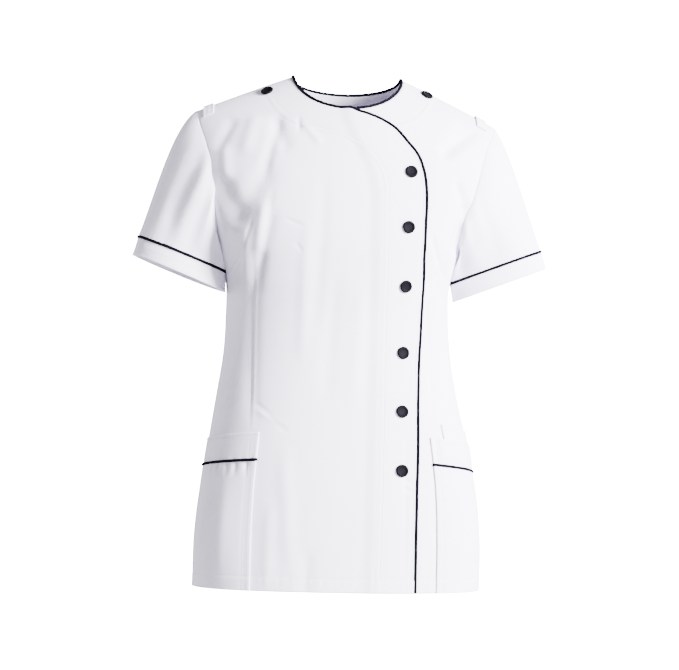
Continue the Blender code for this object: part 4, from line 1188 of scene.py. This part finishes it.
def hem_path(first_turn, last_turn, overlapping=False):
    """The hem's stitch line between two turns, at the top of the turned-up hem."""
    turn = np.linspace(first_turn, last_turn, HEM_MARKS)
    path = np.stack([turn, np.full(HEM_MARKS, HEM_Z + HEM_DEPTH)], -1)
    return on_skin(path, ON_BODY / 2, overlapping)


pocket_start = {s: place_of(POCKETS[s][1], HEM_Z)[0] for s in SIDES}
facing = np.array(FACING_LINE)
beside = np.where(facing[:, 1:] < -0.13, (STITCH_ASIDE, 0.0), (0.0, STITCH_ASIDE))
body_lines = [
    hem_path(pocket_start[-1], place_of(HEM_ENDS_X, HEM_Z + HEM_DEPTH)[0], overlapping=True),
    hem_path(place_of(HEM_STARTS_X, HEM_Z)[0], pocket_start[1]),
    hem_path(math.pi / 2 + 0.004, 3 * math.pi / 2 - 0.004),
    on_front(facing + beside),
    on_front(np.array(LEFT_FACING_LINE[:4]) + (0.0, STITCH_ASIDE), overlapping=False),
    on_front(np.array(OVERLAP_EDGE[2:]) + (-0.0030, -0.0012)),
]
stitches("body_stitches", body_lines)
print("body stitch faces", len(made["body_stitches"].data.polygons))

# %% [markdown]
# Stitch lines of the pockets and cuffs
# Two rows hold each pocket's inner edge and one its hem. Each band has one row down its inner edge
# and one near its top, and each cuff has one near either edge.

# %% Stitch lines of the pockets and cuffs
pocket_lines = []
for side in SIDES:
    body, band, swell, stand = pocket_edges[side]
    normals = torso_normal(body[..., 0], body[..., 1])
    points = at(body, swell + POCKET_WALL + ON_POCKET, FOLLOWS)
    pocket_lines += [(points[1:-1, 2], normals[1:-1, 2]), (points[1:-1, 5], normals[1:-1, 5])]
    row = round(POCKET_ROWS * HEM_DEPTH / 0.183)
    pocket_lines.append((points[row, 2:-1], normals[row, 2:-1]))
    normals = torso_normal(band[..., 0], band[..., 1])
    points = at(band, stand + POCKET_WALL + ON_POCKET, FOLLOWS)
    pocket_lines += [(points[1:-1, 4], normals[1:-1, 4]), (points[26, 4:-1], normals[26, 4:-1])]
stitches("pocket_stitches", pocket_lines)

cuff_lines = []
for side in SIDES:
    top, bottom = cuffs[side]
    for t in (0.10, 0.90):
        band = np.stack([top * (1 - k) + bottom * k for k in (t - 0.03, t, t + 0.03)])
        normals = ring_normals(band)[1]
        line = band[1] + normals * ON_CUFF
        cuff_lines.append((np.concatenate([line, line[:1]]), np.concatenate([normals, normals[:1]])))
stitches("cuff_stitches", cuff_lines)
print("stitch faces", {n: len(made[n].data.polygons) for n in made if "stitches" in n})

# %% [markdown]
# Materials
# White work cloth is a plain weave of cotton and polyester. Two sets of fine bands, one for the
# warp and one for the weft, follow each piece's own UV map in metres. A slow noise varies the
# colour a little, and a touch of sheen catches the light along folds.


# %% Woven cloth and binding
def material(name, colour, roughness, sheen=0.0, specular=0.3):
    """A Principled material with its plain numbers set on the shader itself."""
    m = bpy.data.materials.new(name)
    m.use_nodes = True
    shader = m.node_tree.nodes["Principled BSDF"]
    shader.inputs["Base Color"].default_value = (*colour, 1)
    shader.inputs["Roughness"].default_value = roughness
    shader.inputs["Sheen Weight"].default_value = sheen
    shader.inputs["Sheen Roughness"].default_value = 0.5
    shader.inputs["Specular IOR Level"].default_value = specular
    return m, m.node_tree.nodes, m.node_tree.links, shader


def add(nodes, kind, **values):
    """A shader node of one kind, with its inputs set by name."""
    node = nodes.new("ShaderNode" + kind)
    for name, value in values.items():
        node.inputs[name].default_value = value
    return node


WAVE_SPACING = 0.314  # metres between a wave texture's bands at a scale of 1


def woven(name, colour, other, pitch, bump, roughness, sheen, slant=0.0, slow=9.0, shine=0.2):
    """Cloth: crossed fine bands for the yarns, slow noise for colour, fine noise for fluff."""
    m, nodes, links, shader = material(name, colour, roughness, sheen, shine)
    uv, turn = nodes.new("ShaderNodeUVMap"), nodes.new("ShaderNodeMapping")
    uv.uv_map = "cloth"
    turn.inputs["Rotation"].default_value[2] = slant
    links.new(uv.outputs["UV"], turn.inputs["Vector"])
    cross = nodes.new("ShaderNodeMath")
    cross.operation = "MAXIMUM"
    for n, direction in enumerate("XY"):
        wave = add(nodes, "TexWave", Scale=WAVE_SPACING / pitch, Distortion=0.6, Detail=1.0)
        wave.wave_type, wave.bands_direction, wave.wave_profile = "BANDS", direction, "SIN"
        links.new(turn.outputs["Vector"], wave.inputs["Vector"])
        links.new(wave.outputs["Fac"], cross.inputs[n])
    place = nodes.new("ShaderNodeTexCoord")
    fluff = add(nodes, "TexNoise", Scale=900.0, Detail=3.0)
    drift = add(nodes, "TexNoise", Scale=slow, Detail=4.0)
    wrinkle = add(nodes, "TexNoise", Scale=34.0, Detail=3.0)
    for noise in (fluff, drift, wrinkle):
        links.new(place.outputs["Object"], noise.inputs["Vector"])
    both = nodes.new("ShaderNodeMath")
    both.operation = "MULTIPLY_ADD"
    both.inputs[1].default_value = 0.5
    links.new(fluff.outputs["Fac"], both.inputs[0])
    links.new(cross.outputs[0], both.inputs[2])
    shade = nodes.new("ShaderNodeMix")
    shade.data_type = "RGBA"
    shade.inputs["A"].default_value = (*colour, 1)
    shade.inputs["B"].default_value = (*other, 1)
    links.new(drift.outputs["Fac"], shade.inputs["Factor"])
    links.new(shade.outputs["Result"], shader.inputs["Base Color"])
    raised = add(nodes, "Bump", Strength=bump, Distance=pitch * 0.35)
    links.new(both.outputs[0], raised.inputs["Height"])
    soft = add(nodes, "Bump", Strength=0.22, Distance=0.0016)
    links.new(wrinkle.outputs["Fac"], soft.inputs["Height"])
    links.new(soft.outputs["Normal"], raised.inputs["Normal"])
    links.new(raised.outputs["Normal"], shader.inputs["Normal"])
    return m


WHITE, SHADED_WHITE = (0.785, 0.755, 0.870), (0.735, 0.705, 0.825)
NAVY, DEEP_NAVY = (0.0030, 0.0026, 0.0058), (0.0020, 0.0018, 0.0040)
white_cloth = woven("white work cloth", WHITE, SHADED_WHITE, 0.0007, 0.35, 0.82, 0.12)
navy_binding = woven("navy bias binding", NAVY, DEEP_NAVY, 0.0005, 0.5, 0.8, 0.0, math.pi / 4, 60.0, 0.02)
print("woven", [m.name for m in (white_cloth, navy_binding)])

# %% [markdown]
# Thread and button caps
# Thread is twisted, so it has a fine bump. The caps are dull, with a faint grain.

# %% Thread and button caps
thread, nodes, links, shader = material("white thread", (0.78, 0.78, 0.80), 0.5, 0.1)
twist = add(nodes, "TexNoise", Scale=2500.0)
twisted = add(nodes, "Bump", Strength=0.3, Distance=0.0001)
links.new(twist.outputs["Fac"], twisted.inputs["Height"])
links.new(twisted.outputs["Normal"], shader.inputs["Normal"])

cap, nodes, links, shader = material("navy button cap", (0.0032, 0.0028, 0.0044), 0.5, 0.0, 0.02)
place = nodes.new("ShaderNodeTexCoord")
grain = add(nodes, "TexNoise", Scale=420.0, Detail=5.0)
links.new(place.outputs["Object"], grain.inputs["Vector"])
speckle = nodes.new("ShaderNodeMix")
speckle.data_type = "RGBA"
speckle.inputs["A"].default_value = (0.0026, 0.0023, 0.0036, 1)
speckle.inputs["B"].default_value = (0.0038, 0.0034, 0.0052, 1)
links.new(grain.outputs["Fac"], speckle.inputs["Factor"])
links.new(speckle.outputs["Result"], shader.inputs["Base Color"])
dull = nodes.new("ShaderNodeMapRange")
dull.inputs["To Min"].default_value, dull.inputs["To Max"].default_value = 0.45, 0.6
links.new(grain.outputs["Fac"], dull.inputs["Value"])
links.new(dull.outputs["Result"], shader.inputs["Roughness"])
print("plain", [m.name for m in (thread, cap)])

# %% [markdown]
# Which piece stands for which solid
# Each cloth piece takes its solid's place and rides on the one rigid body. Stitches stand for no
# solid, so they replace nothing.

# %% Finish, ride and replace
STANDS_FOR = {
    "right_front_cloth": "front_right", "left_front_cloth": "front_left", "back_cloth": "back",
    "front_edge_piping": "front_piping", "neck_edge_piping": "neck_piping",
    "left_inner_pocket_cloth": "pocket_inner_left",
}
for word in SIDES.values():
    STANDS_FOR |= {
        word + "_sleeve_cloth": "sleeve_" + word, word + "_cuff_cloth": "cuff_" + word,
        word + "_cuff_seam_piping": "cuff_piping_" + word, word + "_pocket_cloth": "pocket_" + word,
        word + "_pocket_band_cloth": "pocket_band_" + word,
        word + "_pocket_seam_piping": "pocket_piping_" + word,
        word + "_shoulder_loop_cloth": "shoulder_loop_" + word,
        "shoulder_cap_" + word: "shoulder_button_" + word,
    }
STANDS_FOR |= {f"front_button_{n}": f"button_{n}" for n in range(1, 7)}
for name, thing in made.items():
    if "piping" in name:
        finish, slot = navy_binding, "piping"
    elif "button" in name or "cap" in name:
        finish, slot = cap, "button"
    elif "stitches" in name:
        finish, slot = thread, "cloth"
    else:
        finish, slot = white_cloth, "cloth"
    thing.data.materials.append(finish)
    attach(thing, "root")
    if name in STANDS_FOR:
        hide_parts(STANDS_FOR[name])
for name, thing in made.items():
    if name.endswith("_cloth"):
        print("cloth", name, round(sheet_size(thing), 4), "square metres")

# %% [markdown]

# %% [markdown]
# Backdrop and floor
# A pale sweep stands behind and below. It is bright to the camera, to keep the edges clear, and
# lights nothing, so the cloth's own shading stays.

# %% Backdrop and floor
BACKDROP_GLOW, FLOOR_Z, FLOOR_REACH, FLOOR_BACK = 22.0, -1.45, 7.0, 1.3
x = np.linspace(-1.6, 1.6, 3)[None, :]
sweep = curved([(1.3, FLOOR_Z), (1.9, -1.40), (2.3, -1.20), (2.5, -0.8), (2.55, 0.0), (2.55, 1.2)])
backdrop = np.stack(np.broadcast_arrays(x, sweep[:, :1], sweep[:, 1:]), -1)
stage = put_mesh("backdrop", backdrop, cell_corners(len(sweep), 3)[:, ::-1])
paper, _, _, shader = material("lit white paper", (0.93, 0.93, 0.94), 0.9, 0.0, 0.1)
shader.inputs["Emission Color"].default_value = (1, 1, 1, 1)
shader.inputs["Emission Strength"].default_value = BACKDROP_GLOW
stage.data.materials.append(paper)
stage.visible_diffuse, stage.visible_glossy = False, False
sides, depths = [[-FLOOR_REACH, FLOOR_REACH]], [[-FLOOR_REACH], [FLOOR_BACK]]
floor = put_mesh("floor", np.stack(np.broadcast_arrays(sides, depths, FLOOR_Z), -1), cell_corners(2, 2))
floor.data.materials.append(material("pale floor paint", (0.40, 0.40, 0.41), 0.9, 0.0, 0.1)[0])
print("backdrop rows", len(sweep), "and a floor at", FLOOR_Z)

# %% [markdown]
# Lights
# The key light comes from the front and the wearer's left, so the folds on the other side fall
# into gentle shade. Three weaker lights open that shade, the back and the right sleeve's edge.

# %% Lights
# Place, point looked at, size, power and colour
LIGHTS = {
    "key": ((2.75, -2.35, 0.75), (0, 0, -0.35), 1.2, 1600, (0.97, 0.965, 1.0)),
    "high fill": ((-1.9, -1.7, 2.2), (0, 0, -0.2), 1.3, 22, (0.96, 0.96, 1.0)),
    "back fill": ((2.7, 2.3, 1.3), (0, 0, -0.35), 1.3, 260, (0.96, 0.96, 1.0)),
    "side rim": ((-2.9, 0.9, 0.3), (0, 0, -0.35), 1.3, 100, (0.97, 0.96, 1.0)),
}
ROOM_COLOUR, ROOM_STRENGTH = (0.95, 0.96, 1.0, 1), 0.20


def soft_light(name, place, target, size, power, colour):
    """A square area light that looks at a point."""
    lamp = bpy.data.lights.new(name, "AREA")
    lamp.shape, lamp.size, lamp.energy, lamp.color = "SQUARE", size, power, colour
    thing = bpy.data.objects.new(name, lamp)
    back = unit(np.asarray(place, float) - np.asarray(target, float))
    right = unit(np.cross((0, 0, 1), back))
    matrix = np.eye(4)
    matrix[:3, :4] = np.stack([right, np.cross(back, right), back, np.asarray(place, float)], 1)
    thing.matrix_world = Matrix(matrix.tolist())
    bpy.context.scene.collection.objects.link(thing)


for name, values in LIGHTS.items():
    soft_light(name, *values)
world = bpy.data.worlds.new("room")
world.use_nodes = True
world.node_tree.nodes["Background"].inputs["Color"].default_value = ROOM_COLOUR
world.node_tree.nodes["Background"].inputs["Strength"].default_value = ROOM_STRENGTH
bpy.context.scene.world = world
print("lights", {name: values[3] for name, values in LIGHTS.items()}, "watts")
